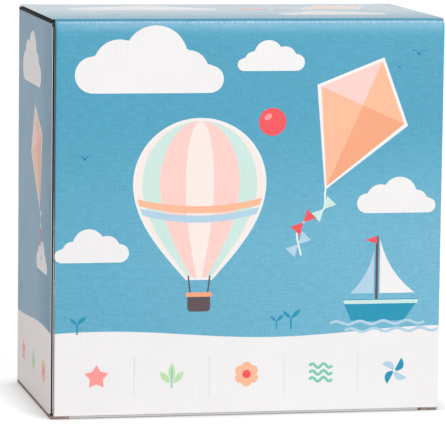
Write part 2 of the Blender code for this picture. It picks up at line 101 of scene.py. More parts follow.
class Ink(Enum):
    """The inks of the print, as they look on white board."""

    BLUE = "4EA1BF"
    # a paler blue that the walls' blue turns into, as a painted sheen
    SHEEN_BLUE = "74B7D1"
    # a greyer copy of the blue for the side walls: painted shade
    SIDE_SHADE_BLUE = "5790B0"
    # a darker blue for the side walls beside the front corner: painted shade
    CORNER_SHADE_BLUE = "0A7296"
    WHITE = "F1EFEF"
    # a warmer copy of the white for the side walls: painted warm light
    SIDE_LIGHT_WHITE = "F9F1EF"
    PEACH = "FBBB98"
    APRICOT = "F4A780"
    PINK = "FED0C9"
    CREAM = "F9EAE4"
    MINT = "CDE8E1"
    SKY = "B3D3E6"
    RED = "F4535B"
    ROSE = "FF9C98"
    TEAL = "1F92B4"
    JADE = "78CBAE"
    LEAF = "BFE0AF"
    BROWN = "5C4B51"


class Ground(Enum):
    """How the flat colour under the motifs is laid out."""

    SOLID = "one ink all over"
    BAND = "the ink above a white band"
    BLEED_SIDES = "white, with the ink along the left and right creases"
    BLEED_TOP = "white, with the ink along the upper crease"


def linear(code: str) -> tuple[float, float, float, float]:
    """Turn a six-digit screen colour into the linear colour that shaders use.

    Args:
        code: Two hexadecimal digits each for red, green and blue.

    Returns:
        Linear red, green, blue and a full alpha.
    """
    parts = []
    for start in (0, 2, 4):
        share = int(code[start:start + 2], 16) / 255
        parts.append(share / 12.92 if share <= 0.04045 else ((share + 0.055) / 1.055) ** 2.4)
    return parts[0], parts[1], parts[2], 1.0


class Wiring:
    """Lays the nodes of one material, or of the sky, and hands back their sockets."""

    def __init__(self, owner: Union[Material, bpy.types.World],
                 shader: str = "Principled BSDF") -> None:
        """Start with a material or sky that has only its shader."""
        owner.use_nodes = True
        self.tree = owner.node_tree
        self.skin = self.tree.nodes[shader]

    def put(self, kind: str, feeds: Optional[dict] = None, **settings: object) -> bpy.types.Node:
        """Add one node.

        Args:
            kind: The node's type, without its ShaderNode prefix.
            feeds: Values or sockets for its inputs, by name or number.
            settings: Values for its own properties.

        Returns:
            The new node.
        """
        node = self.tree.nodes.new("ShaderNode" + kind)
        for key, value in settings.items():
            setattr(node, key, value)
        for key, value in (feeds or {}).items():
            self.feed(node.inputs[key], value)
        return node

    def feed(self, socket: Socket, value: Feed) -> None:
        """Link a socket into an input, or set a plain value or a screen colour on it."""
        if isinstance(value, bpy.types.NodeSocket):
            self.tree.links.new(value, socket)
        else:
            socket.default_value = linear(value) if isinstance(value, str) else value

    def set(self, **values: Feed) -> None:
        """Set inputs of the shader; an underscore stands for a space."""
        for key, value in values.items():
            self.feed(self.skin.inputs[key.replace("_", " ")], value)

    def place(self) -> Socket:
        """Return the place on the piece, in metres of the shared frame."""
        return self.put("TexCoord").outputs["Object"]

    def split(self, vector: Optional[Socket] = None) -> tuple[Socket, Socket, Socket]:
        """Return the three parts of a vector, or of the place on the piece."""
        outputs = self.put("SeparateXYZ", {0: self.place() if vector is None else vector}).outputs
        return outputs[0], outputs[1], outputs[2]

    def attribute(self, name: str) -> Socket:
        """Return a number that the piece's own points carry."""
        return self.put("Attribute", attribute_name=name).outputs["Fac"]

    def noise(self, scale: Union[float, Sequence[float]], detail: float = 2.0,
              rough: float = 0.5) -> Socket:
        """Return a noise over the piece that runs from about 0.25 to 0.75.

        Args:
            scale: Its grains per metre, the same all round or one number for each axis.
            detail: How many finer noises are laid over it.
            rough: How strong the finer noises are.

        Returns:
            The noise.
        """
        place = self.place()
        if not isinstance(scale, float):
            place = self.put("Mapping", {"Vector": place, "Scale": scale}).outputs[0]
            scale = 1.0
        feeds = {"Vector": place, "Scale": scale, "Detail": detail, "Roughness": rough}
        return self.put("TexNoise", feeds).outputs[0]

    def math(self, kind: str, a: Feed, b: Feed = 0.0, c: Feed = 0.0) -> Socket:
        """Return the result of one sum."""
        return self.put("Math", {0: a, 1: b, 2: c}, operation=kind).outputs[0]

    def times(self, a: Feed, b: Feed) -> Socket:
        """Return the product of two numbers."""
        return self.math("MULTIPLY", a, b)

    def scaled(self, value: Feed, gain: Feed, start: Feed) -> Socket:
        """Return a number times a gain, on top of a start."""
        return self.math("MULTIPLY_ADD", value, gain, start)

    def ridges(self, distance: Socket, pitch: float) -> Socket:
        """Return a sine wave from -1 to 1 along a distance."""
        return self.math("SINE", self.times(distance, 2 * math.pi / pitch))

    def within(self, value: Socket, low: float, high: float) -> Socket:
        """Return 0 on low's side, 1 on high's side and a smooth change between them."""
        feeds = {"Value": value, "From Min": low, "From Max": high, "To Min": 0.0, "To Max": 1.0}
        return self.put("MapRange", feeds, interpolation_type="SMOOTHSTEP").outputs[0]

    def scuff(self, top: float) -> Socket:
        """Return 1 below the top of a scuffed length, 0 above it and a smooth change over its fade."""
        _, _, z = self.split()
        return self.within(z, top + SCUFF_FADE, top - SCUFF_FADE)

    def seen(self) -> Socket:
        """Return 1 for rays that the eye follows, straight or off a gloss, and 0 for light."""
        rays = self.put("LightPath").outputs
        seen = rays["Is Camera Ray"]
        for kind in ("Is Glossy Ray", "Is Transmission Ray"):
            seen = self.math("MAXIMUM", seen, rays[kind])
        return seen

    def mix(self, share: Feed, a: Feed, b: Feed) -> Socket:
        """Return colour a turned into colour b by a share."""
        return self.put("Mix", {0: share, 6: a, 7: b}, data_type="RGBA").outputs[2]

    def shade(self, colour: Feed, value: Socket) -> Socket:
        """Return a colour made lighter or darker by a factor."""
        return self.put("HueSaturation", {"Color": colour, "Value": value}).outputs[0]

    def bump(self, height: Socket, depth: float, strength: float = 1.0) -> None:
        """Raise the surface by a height of 0 to 1, that stands for a depth in metres."""
        feeds = {"Height": height, "Distance": depth, "Strength": strength}
        self.feed(self.skin.inputs["Normal"], self.put("Bump", feeds).outputs[0])


@dataclass(frozen=True)
class Finish:
    """A finish that is wired into one material."""

    name: str

    @lru_cache(maxsize=None)
    def material(self) -> Material:
        """Wire the finish, the first time that a piece takes it, and return its material."""
        material = bpy.data.materials.new(self.name)
        self.paint(Wiring(material))
        return material

    def paint(self, wire: Wiring) -> None:
        """Set the inputs of the shader.

        Args:
            wire: The material being wired.
        """
        raise NotImplementedError


@dataclass(frozen=True)
class PrintedPaper(Finish):
    """White-lined board with ink on it: a linen emboss, faint flute lines and a satin varnish."""

    ink: Ink
    ground: Ground = Ground.SOLID
    lying: bool = False         # on the lid, base and flaps, the flutes run from front to back
    worn: float = 0.0           # share of the ink that has cracked away along the ridge of a fold
    ridge: float = 0.34         # where the ridge lies across the fold, from 0 to 1
    spread: float = 0.16        # how far from the ridge the wear reaches
    side_bleed: float = 111.0 * MM
    top_bleed: float = 231.0 * MM
    rub: float = 0.0            # how much rougher the varnish has been rubbed beside the lid's crease
    rub_start: float = -67.5 * MM
    rub_end: float = 22.5 * MM
    painted_light_and_flakes: float = 0.0         # strength of the painted highlight where the wall is pressed under the lid; it also turns on a painted dark line along the crease and the flaked line
    highlight_foot: float = 231.5 * MM
    highlight_top: float = 237.0 * MM
    highlight_end: float = 238.8 * MM
    strain_line: float = 237.7 * MM     # height of the line along which the ink has flaked
    scuffed: float = 0.0        # height below which a fold is fully worn; 0 where it is worn evenly
    under_lid_shade: float = 0.0           # painted shade: how much darker a fold gets where it turns in under the lid
    bare: str = "E6EEF2"        # paper where the ink has cracked away
    highlight_ink: str = "BFD9EC"    # colour of the painted highlight
    flaked: str = "D6E6F2"      # paper along the flaked line
    emboss: float = 0.04 * MM   # depth of the linen

    def cover(self, wire: Wiring) -> tuple[Feed, Feed]:
        """Lay out the flat colour before wear, with the painted sheen of the blue walls and the painted
        shade of the side walls.

        Args:
            wire: The material being wired.

        Returns:
            The colour, and how much of the blue ink lies there.
        """
        ink = self.ink.value
        # the side walls take a warmer copy of the white as painted light, and a greyer copy of the blue
        # as painted shade
        paper = (Ink.SIDE_LIGHT_WHITE if self.ink is Ink.SIDE_SHADE_BLUE else Ink.WHITE).value
        if self.ground is Ground.SOLID:
            return ink, 1.0 if self.ink in (Ink.BLUE, Ink.SIDE_SHADE_BLUE) else 0.0
        x, y, z = wire.split()
        if self.ground is Ground.BAND:
            swell = wire.ridges(wire.math("ADD", x, y), BAND_WAVE)
            edge = wire.scaled(swell, BAND_SWELL, BAND_TOP)
            share = wire.math("GREATER_THAN", z, edge)
            if self.ink is Ink.SIDE_SHADE_BLUE:
                # painted shade: the side walls darken towards the front corner
                ink = wire.mix(wire.within(y, CORNER_SHADE_START, CORNER_SHADE_END), ink, Ink.CORNER_SHADE_BLUE.value)
            else:
                # painted sheen: the blue pales towards the foot and to the right, for reflected light
                drift = wire.scaled(x, SHEEN_DRIFT, SHEEN_MIDDLE)
                sheen_share = wire.times(wire.within(z, SHEEN_TOP, SHEEN_FOOT), drift)
                ink = wire.mix(sheen_share, ink, Ink.SHEEN_BLUE.value)
        elif self.ground is Ground.BLEED_SIDES:
            share = wire.math("GREATER_THAN", wire.math("ABSOLUTE", x), self.side_bleed)
        else:
            share = wire.math("GREATER_THAN", z, self.top_bleed)
        return wire.mix(share, paper, ink), share

    def crack(self, wire: Wiring, colour: Socket) -> Socket:
        """Break the ink along the ridge of a fold, in specks of bare paper; on the lid's crease, also
        paint a dark line of shade.

        Args:
            wire: The material being wired.
            colour: The colour of the whole ink.

        Returns:
            The worn colour, with the painted shade where there is one.
        """
        beyond = wire.math("SUBTRACT", wire.attribute("fold"), self.ridge)
        # painted shade: a dark line along the ridge of the lid's crease
        if self.painted_light_and_flakes:
            dark = wire.times(wire.within(beyond, -0.02, 0.16), wire.within(beyond, 0.8, 0.6))
            colour = wire.shade(colour, wire.scaled(dark, -0.17, 1.0))
        near = wire.within(wire.math("ABSOLUTE", beyond), self.spread, self.spread / 4)
        if self.scuffed:
            rubbed = wire.scaled(wire.scuff(self.scuffed), 0.75, 0.25)
            near = wire.times(near, rubbed)
        specks = wire.noise(780.0, 3.0, 0.62)
        patches = wire.noise(55.0)
        bare = wire.scaled(patches, 0.5, specks)
        limit = 0.97 - 0.17 * self.worn
        flecks = wire.times(wire.within(bare, limit - 0.05, limit + 0.05), near)
        thinned = wire.times(near, 0.3 * self.worn)
        share = wire.math("MAXIMUM", wire.times(flecks, 0.7), thinned)
        return wire.mix(share, colour, self.bare)

    def pale(self, wire: Wiring, colour: Socket) -> Socket:
        """Paint a streaky highlight below the lid's crease, and lay a line of flaked ink there.

        Args:
            wire: The material being wired.
            colour: The colour of the whole ink.

        Returns:
            The colour with the painted highlight and the flakes.
        """
        x, _, z = wire.split()
        # painted highlight: streaks of paler blue below the lid's crease, for light reflected off the
        # wall's curved top; the flaked line after it is wear
        streaks = wire.noise((60.0, 60.0, 900.0), 3.0)
        patches = wire.noise(14.0)
        aside = wire.math("ABSOLUTE", wire.math("SUBTRACT", x, HIGHLIGHT_MIDDLE))
        most = wire.within(aside, HIGHLIGHT_REACH, HIGHLIGHT_CORE)
        share = wire.times(wire.within(z, self.highlight_foot, self.highlight_top), self.painted_light_and_flakes)
        for part in (wire.within(z, self.highlight_end, self.highlight_end - 0.8 * MM),
                     wire.within(patches, 0.2, 0.6),
                     wire.scaled(most, 0.55, 0.7),
                     wire.scaled(streaks, 1.6, 0.2)):
            share = wire.times(share, part)
        colour = wire.mix(share, colour, self.highlight_ink)
        line = wire.math("ABSOLUTE", wire.math("SUBTRACT", z, self.strain_line))
        flakes = wire.within(wire.noise(FLAKE_SCALE, 1.0), 0.38, 0.64)
        flaked = wire.scaled(flakes, 0.42, 0.08)
        flaked = wire.times(wire.within(line, 0.5 * MM, 0.15 * MM), flaked)
        return wire.mix(flaked, colour, self.flaked)

    def paint(self, wire: Wiring) -> None:
        """Set the inputs of the shader."""
        slow, fast = 190.0, 1750.0
        if self.lying:
            weft, warp = (slow, fast, slow), (fast, slow, slow)
        else:
            weft, warp = (slow, slow, fast), (fast, fast, slow)
        warps = wire.times(wire.noise(warp), 0.8)
        linen = wire.scaled(wire.noise(weft), 1.2, warps)
        x, y, _ = wire.split()
        if self.ground is Ground.BLEED_SIDES:
            across = y
        else:
            across = x if self.lying else wire.math("ADD", x, y)
        flutes = wire.ridges(across, FLUTE_PITCH)
        mottle = wire.noise(38.0, 3.0)
        cover, blue = self.cover(wire)
        threads = wire.math("SUBTRACT", linen, 1.0)
        weave = wire.scaled(blue, 0.32, 0.04)
        tone = wire.scaled(threads, weave, 0.96)
        tone = wire.scaled(mottle, 0.06, tone)
        tone = wire.scaled(flutes, 0.008, tone)
        colour = wire.shade(cover, tone)
        if self.worn:
            colour = self.crack(wire, colour)
        # painted highlight below the lid's crease, with a line of flaked ink
        if self.painted_light_and_flakes:
            colour = self.pale(wire, colour)
        # painted shade where the fold turns in under the lid
        if self.under_lid_shade:
            under = wire.within(wire.attribute("fold"), 0.4, 0.7)
            colour = wire.shade(colour, wire.scaled(under, -self.under_lid_shade, 1.0))
        wire.set(Base_Color=colour, Specular_IOR_Level=1.0 if self.lying else 0.25)
        gloss = wire.scaled(mottle, 0.12, 0.16 if self.lying else 0.28)
        if self.rub:
            span = {"Value": y, "From Min": self.rub_end, "From Max": self.rub_start}
            near = wire.put("MapRange", span).outputs[0]
            gloss = wire.scaled(wire.times(near, near), self.rub, gloss)
        wire.set(Roughness=gloss)
        if self.lying:
            wire.set(Coat_Weight=0.30, Coat_Roughness=0.15)
        relief = wire.scaled(blue, 0.75, 0.25)
        height = wire.scaled(threads, relief, wire.times(flutes, 0.22))
        wire.bump(height, self.emboss, 0.5)


@dataclass(frozen=True)
class KraftPaper(Finish):
    """Brown unbleached paper with fibres, as the inner liner, the flutes and the cut edges show."""

    colour: str = "B7A08E"
    fibre: str = "947A67"
    ribbed: bool = True         # the flutes show through a liner as faint ribs
    scuffed: float = 0.0        # height below which a cut edge is frayed to white; 0 where it is whole
    speck: str = "6B5444"
    frayed: str = "F2F8FA"
    relief: float = 0.06 * MM

    def paint(self, wire: Wiring) -> None:
        """Set the inputs of the shader."""
        fibres = wire.noise((420.0, 800.0, 1500.0), 4.0, 0.65)
        specks = wire.noise(1400.0)
        cloudy = wire.noise(45.0, 3.0)
        share = wire.scaled(cloudy, 0.2, wire.times(fibres, 0.6))
        share = wire.within(share, 0.2, 0.62)
        colour = wire.mix(share, self.colour, self.fibre)
        dark = wire.within(specks, 0.68, 0.74)
        colour = wire.mix(wire.times(dark, 0.35), colour, self.speck)
        height = wire.math("ADD", fibres, specks)
        if self.scuffed:
            flakes = wire.within(wire.noise(FLAKE_SCALE, 1.0), 0.22, 0.42)
            frayed = wire.times(wire.scuff(self.scuffed), flakes)
            colour = wire.mix(frayed, colour, self.frayed)
        if self.ribbed:
            ribs = wire.ridges(wire.attribute("across"), FLUTE_PITCH)
            colour = wire.shade(colour, wire.scaled(ribs, 0.05, 0.99))
            height = wire.scaled(ribs, 0.5, height)
        wire.set(Base_Color=colour, Roughness=0.82)
        wire.bump(height, self.relief, 0.6)


@dataclass(frozen=True)
class Plywood(Finish):
    """Lacquered birch: a face veneer, painted or bare, or the darker cross plies of the edge."""

    pale: str = "E9CFA6"
    dark: str = "C99F6C"
    painted: bool = False
    cross: bool = False
    middle: float = 0.1119      # height of the paddle's middle
    stripe_start: float = 82.0 * MM
    stripe_end: float = 90.0 * MM
    paint_start: float = 94.0 * MM
    cover: float = 0.92         # of the paint
    pore: str = "A57B4D"
    relief: float = 0.05 * MM

    def paint(self, wire: Wiring) -> None:
        """Set the inputs of the shader."""
        run = (900.0, 900.0, 900.0) if self.cross else (150.0, 150.0, 7.0)
        wander = wire.noise((9.0, 9.0, 3.0), 2.0)
        grain = wire.noise(run, 5.0, 0.62)
        pores = wire.noise((1100.0, 1100.0, 45.0), 2.0)
        share = wire.within(wire.scaled(wander, 0.6, grain), 0.55, 1.05)
        colour = wire.mix(share, self.pale, self.dark)
        pitted = wire.times(wire.within(pores, 0.6, 0.72), 0.35)
        colour = wire.mix(pitted, colour, self.pore)
        if self.painted:
            x, _, z = wire.split()
            rise = wire.math("SUBTRACT", z, self.middle)
            lift = wire.times(rise, 0.66)
            reach = wire.scaled(wire.math("ABSOLUTE", x), 0.75, lift)
            stripe = wire.math("GREATER_THAN", reach, self.stripe_start)
            stripe = wire.times(stripe, wire.math("LESS_THAN", reach, self.stripe_end))
            corner = wire.math("GREATER_THAN", reach, self.paint_start)
            colour = wire.mix(wire.times(stripe, self.cover), colour, Ink.SKY.value)
            colour = wire.mix(wire.times(corner, self.cover), colour, Ink.MINT.value)
        wire.set(Base_Color=colour, Roughness=0.62 if self.cross else 0.36)
        wire.bump(wire.math("ADD", grain, pores), self.relief, 0.5)


@dataclass(frozen=True)
class CorkGrain(Finish):
    """Pressed cork: pale and dark crumbs of a few millimetres with dark seams between them."""

    crumbs: float = 520.0       # per metre
    pale: str = "D9A56E"
    dark: str = "A86F3D"
    bark: str = "6B4022"
    seam: str = "5E3A20"
    relief: float = 0.12 * MM

    def paint(self, wire: Wiring) -> None:
        """Set the inputs of the shader."""
        cells = {"Vector": wire.place(), "Scale": self.crumbs}
        crumbs = wire.put("TexVoronoi", cells)
        seams = wire.put("TexVoronoi", cells, feature="DISTANCE_TO_EDGE")
        tone, warm, _ = wire.split(crumbs.outputs["Color"])
        colour = wire.mix(tone, self.pale, self.dark)
        bark = wire.times(wire.within(warm, 0.82, 0.9), 0.8)
        colour = wire.mix(bark, colour, self.bark)
        seam = wire.within(seams.outputs["Distance"], 0.0, 0.07)
        colour = wire.mix(wire.scaled(seam, -0.55, 0.55), colour, self.seam)
        fine = wire.noise(2600.0, 3.0, 0.6)
        colour = wire.shade(colour, wire.scaled(fine, 0.35, 0.83))
        wire.set(Base_Color=colour, Roughness=0.86)
        wire.bump(wire.scaled(fine, 0.5, seam), self.relief, 0.7)


@dataclass(frozen=True)
class Webbing(Finish):
    """Dark brown woven webbing, whose yarns follow the strap."""

    yarn: str = "574950"
    gap: str = "2B2327"
    along_pitch: float = 1.5 * MM
    across_pitch: float = 1.9 * MM
    relief: float = 0.18 * MM

    def paint(self, wire: Wiring) -> None:
        """Set the inputs of the shader."""
        weft = wire.ridges(wire.attribute("along"), self.along_pitch)
        warp = wire.ridges(wire.attribute("across"), self.across_pitch)
        weave = wire.times(weft, warp)
        fuzz = wire.noise(3000.0, 3.0, 0.6)
        height = wire.scaled(weave, 0.5, 0.5)
        share = wire.scaled(fuzz, 0.4, wire.times(height, 0.75))
        wire.set(Base_Color=wire.mix(share, self.gap, self.yarn))
        wire.set(Roughness=0.78, Sheen_Weight=0.25, Sheen_Roughness=0.45)
        wire.bump(wire.scaled(fuzz, 0.3, height), self.relief, 0.8)


@dataclass(frozen=True)
class Pile(Finish):
    """The nap of a hook or loop patch, or a sewing thread: fine fibres over a woven back."""

    tip: str
    root: str
    scale: float = 1900.0       # fibres per metre, roughly
    relief: float = 0.25 * MM

    def paint(self, wire: Wiring) -> None:
        """Set the inputs of the shader."""
        nap = wire.noise(self.scale, 3.0, 0.7)
        cells = wire.put("TexVoronoi", {"Vector": wire.place(), "Scale": 0.7 * self.scale})
        tufts = wire.times(cells.outputs["Distance"], 0.35)
        share = wire.within(wire.math("SUBTRACT", nap, tufts), 0.15, 0.6)
        wire.set(Base_Color=wire.mix(share, self.root, self.tip))
        wire.set(Roughness=0.9, Sheen_Weight=0.4, Sheen_Roughness=0.5)
        wire.bump(share, self.relief, 0.8)


@dataclass(frozen=True)
class Moulded(Finish):
    """Moulded plastic or rubber, with a fine eroded grain and slight changes of tone."""

    colour: str
    roughness: float = 0.45
    grain: float = 2200.0       # grains per metre, roughly
    depth: float = 0.03 * MM

    def paint(self, wire: Wiring) -> None:
        """Set the inputs of the shader."""
        fine = wire.noise(self.grain, 2.0)
        cloudy = wire.noise(60.0, 3.0)
        tone = wire.scaled(cloudy, 0.16, 0.92)
        wire.set(Base_Color=wire.shade(self.colour, tone))
        wire.set(Roughness=wire.scaled(cloudy, 0.2, self.roughness - 0.1))
        wire.bump(fine, self.depth, 0.5)


@dataclass(frozen=True)
class RawEdge:
    """What a cut through the board shows: the edges of its two liners, the flutes and the hollows; the
    hollows carry painted shade, and on the base painted light.
    """

    paper: Finish
    kraft: Finish
    flutes: Finish
    painted_hollow: Finish


def cut_paper(name: str, colour: str, fibre: str, scuffed: float = 0.0) -> KraftPaper:
    """Return the finish of a cut through paper, which has no ribs."""
    return KraftPaper(name, colour, fibre, False, scuffed)


class Looks:
    """Every finish of the part, shared by its pieces."""

    lid_rub = 0.36
    # strength of the painted highlight under the lid's crease
    painted_light_and_flakes = 0.2

    front = PrintedPaper("front_print", Ink.BLUE, Ground.BAND, painted_light_and_flakes=painted_light_and_flakes)
    wall = PrintedPaper("wall_print", Ink.BLUE, Ground.BAND)
    # the side walls' blue and white are painted-shade and painted-light copies of the print's inks
    side = PrintedPaper("side_print", Ink.SIDE_SHADE_BLUE, Ground.BAND)
    wall_fold = PrintedPaper("wall_fold_print", Ink.BLUE, Ground.BAND, worn=0.5)
    seam_fold = PrintedPaper("seam_fold_print", Ink.BLUE, Ground.BAND, worn=1.0, ridge=0.5, spread=0.4,
                             scuffed=SCUFF_TOP)
    lid = PrintedPaper("lid_print", Ink.BLUE, lying=True, rub=lid_rub)
    lid_fold = PrintedPaper("lid_fold_print", Ink.BLUE, worn=0.4, ridge=0.03, painted_light_and_flakes=painted_light_and_flakes)
    # the fold under the lid's edge is painted darker, as shade
    dust_fold = PrintedPaper("dust_fold_print", Ink.SIDE_SHADE_BLUE, under_lid_shade=0.9)
    white = PrintedPaper("white_board", Ink.WHITE, lying=True)
    white_fold = PrintedPaper("white_fold_print", Ink.WHITE)
    dust = PrintedPaper("dust_flap_print", Ink.BLUE, Ground.BLEED_SIDES, lying=True)
    tuck = PrintedPaper("tuck_flap_print", Ink.BLUE, Ground.BLEED_TOP)
    liner = KraftPaper("kraft_liner")

    white_cut = cut_paper("white_cut_edge", "C9BFB8", "9F948C")
    bright_cut = cut_paper("bright_cut_edge", "EDE9E6", "CFC8C3")
    kraft_cut = cut_paper("kraft_cut_edge", "97826F", "6F5D50")
    # painted light: a pale kraft for the base's cut edges, flutes and hollows
    painted_light_cut = cut_paper("painted_light_kraft_cut_edge", "DDC5B8", "BFA597")
    # painted shade: a dark grey-blue for the inner liner's edge at the front left corner, frayed to white
    # by wear below the scuffed height
    painted_shade_frayed_cut = cut_paper("painted_shade_frayed_cut_edge", "8F9699", "6C7477", SCUFF_TOP)
    # painted shade: near-black kraft for the lid's cut edges, for the shadow under the lid
    painted_shade_cut = cut_paper("painted_shade_cut_edge", "2E2723", "1D1816")
    flutes = cut_paper("kraft_flutes", "B39A89", "8C7564")
    # painted shade: a dark kraft for the faces inside the board and the folds' inner sides
    painted_hollow = cut_paper("painted_shade_between_flutes", "5A4B42", "3E332C")
    raw = RawEdge(white_cut, kraft_cut, flutes, painted_hollow)
    seam = RawEdge(bright_cut, painted_shade_frayed_cut, flutes, painted_hollow)
    painted_shade_edge = RawEdge(white_cut, painted_shade_cut, painted_shade_cut, painted_shade_cut)
    painted_light_edge = RawEdge(white_cut, painted_light_cut, painted_light_cut, painted_light_cut)

    veneer = Plywood("birch_veneer")
    painted = Plywood("painted_birch_veneer", painted=True)
    cross_ply = Plywood("birch_cross_ply", "B98D5C", "8F6539", cross=True)
    cork = CorkGrain("pressed_cork")
    webbing = Webbing("brown_webbing")
    thread = Pile("sewing_thread", "8A7A7F", "4C3F45", 4200.0)
    loops = Pile("loop_patch_nap", "5A4D52", "2C2529")
    hooks = Pile("hook_patch_nap", "4A4045", "1E191C", 2600.0)
    keeper = Moulded("keeper_plastic_black", "2A2627")
    ball = Moulded("ball_rubber_red", "E8343E", 0.42, 1500.0, 0.02 * MM)
    ball_seam = Moulded("ball_seam_red", "C9262F", 0.5)

    @classmethod
    def ink(cls, ink: Ink, lying: bool) -> PrintedPaper:
        """Return the finish of one ink, on the lid where it lies and else on a wall."""
        name = ink.name.lower() + ("_ink_on_lid" if lying else "_ink")
        return PrintedPaper(name, ink, lying=lying, rub=cls.lid_rub if lying else 0.0)


def stand(name: str, data: bpy.types.ID) -> bpy.types.Object:
    """Put a new object into the scene, for a mesh, a lamp or a camera."""
    thing = bpy.data.objects.new(name, data)
    bpy.context.scene.collection.objects.link(thing)
    return thing


def make_piece(bm: Shape, name: str, finishes: Sequence[Finish],
               body: Optional[str] = None, smooth: Optional[float] = None,
               replaces: Sequence[str] = ()) -> bpy.types.Object:
    """Turn a finished bmesh into a piece of the object.

    Args:
        bm: The shape, in place; it is freed.
        name: Name of the piece.
        finishes: Its finishes, in the order of its faces' material numbers.
        body: The body that it rides on, or None for a piece that rides on none.
        smooth: Edges flatter than this many degrees are shaded smooth; None leaves all sharp.
        replaces: The frame's nodes that it stands for.

    Returns:
        The new object.
    """
    mesh = bpy.data.meshes.new(name)
    bm.to_mesh(mesh)
    bm.free()
    for finish in finishes:
        mesh.materials.append(finish.material())
    if smooth is not None:
        mesh.polygons.foreach_set("use_smooth", [True] * len(mesh.polygons))
        mesh.set_sharp_from_angle(angle=math.radians(smooth))
    piece = stand(name, mesh)
    if body is not None:
        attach(piece, body)
    if replaces:
        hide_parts(*replaces)
    LOG.info("%s: %d faces on %s", name, len(mesh.polygons), body or "a fold")
    return piece


def cad_copy(node: str) -> Shape:
    """Return a merged copy of a frame solid.

    Args:
        node: Name of the frame's node.

    Returns:
        A closed bmesh, in place.
    """
    bm = bmesh.new()
    bm.from_mesh(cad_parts[node].data)
    bmesh.ops.remove_doubles(bm, verts=bm.verts[:], dist=WELD)
    bmesh.ops.dissolve_limit(bm, angle_limit=math.radians(0.4), verts=bm.verts[:], edges=bm.edges[:])
    return bm


def join(shapes: Sequence[Shape]) -> Shape:
    """Put several shapes into one; the shapes are freed.

    Args:
        shapes: The shapes, in place.

    Returns:
        One bmesh that holds them all.
    """
    whole = bmesh.new()
    mesh = bpy.data.meshes.new("joining")
    for shape in shapes:
        shape.to_mesh(mesh)
        shape.free()
        whole.from_mesh(mesh)
    bpy.data.meshes.remove(mesh)
    return whole


def slice_through(bm: Shape, point: Vector, normal: Vector, drop: bool = False
                  ) -> list[Union[bmesh.types.BMVert, bmesh.types.BMEdge]]:
    """Cut every face of a shape that a plane crosses.

    Args:
        bm: The shape.
        point: A point of the plane.
        normal: The plane's normal.
        drop: Whether the side that the normal points to is taken away.

    Returns:
        The points and edges that lie on the cut.
    """
    geometry = bm.verts[:] + bm.edges[:] + bm.faces[:]
    return bmesh.ops.bisect_plane(bm, geom=geometry, dist=CUT_SLACK, plane_co=point, plane_no=normal,
                                  clear_outer=drop)["geom_cut"]


def cut_away(bm: Shape, point: Vector, away: Vector) -> None:
    """Cut a solid by a plane, drop one side and close the cut.

    Args:
        bm: The solid.
        point: A point of the plane.
        away: The plane's normal, towards the side that is dropped.
    """
    slice_through(bm, point, away, drop=True)
    rim = [edge for edge in bm.edges if edge.is_boundary]
    if rim:
        bmesh.ops.triangle_fill(bm, use_beauty=True, use_dissolve=True, edges=rim, normal=away)
    bmesh.ops.recalc_face_normals(bm, faces=bm.faces[:])


def paint_faces(bm: Shape, facing: Vector) -> None:
    """Number the materials of a sheet: 0 for its face, 1 for its edges and 2 for its back.

    Args:
        bm: The sheet.
        facing: The way that its face Looks.
    """
    limit = 0.5     # least cosine at which a face of the mesh counts as looking that way
    bm.normal_update()
    for face in bm.faces:
        looks = face.normal.dot(facing)
        if looks > limit:
            face.material_index = 0
        else:
            face.material_index = 2 if looks < -limit else 1


Cut = tuple[Vector, Vector]


@dataclass(frozen=True)
class Dent:
    """A corner of the carton that has been knocked in."""

    corner: Vector
    push: Vector
    reach: float = 9.0 * MM

    def press(self, bm: Shape, steps: int = 0) -> None:
        """Move the points near the corner.

        Args:
            bm: The shape, in place.
            steps: How many cuts each way are laid through the shape first, to let it curve.
        """
        if min((vert.co - self.corner).length for vert in bm.verts) > self.reach:
            return
        for step in range(steps):
            for axis in (X, Y):
                inward = axis if self.corner.dot(axis) < 0 else -axis
                place = self.corner + inward * self.reach * (step + 1) / steps
                slice_through(bm, place, axis)
        for vert in bm.verts:
            share = max(0.0, 1 - (vert.co - self.corner).length / self.reach)
            vert.co += self.push * share ** 2


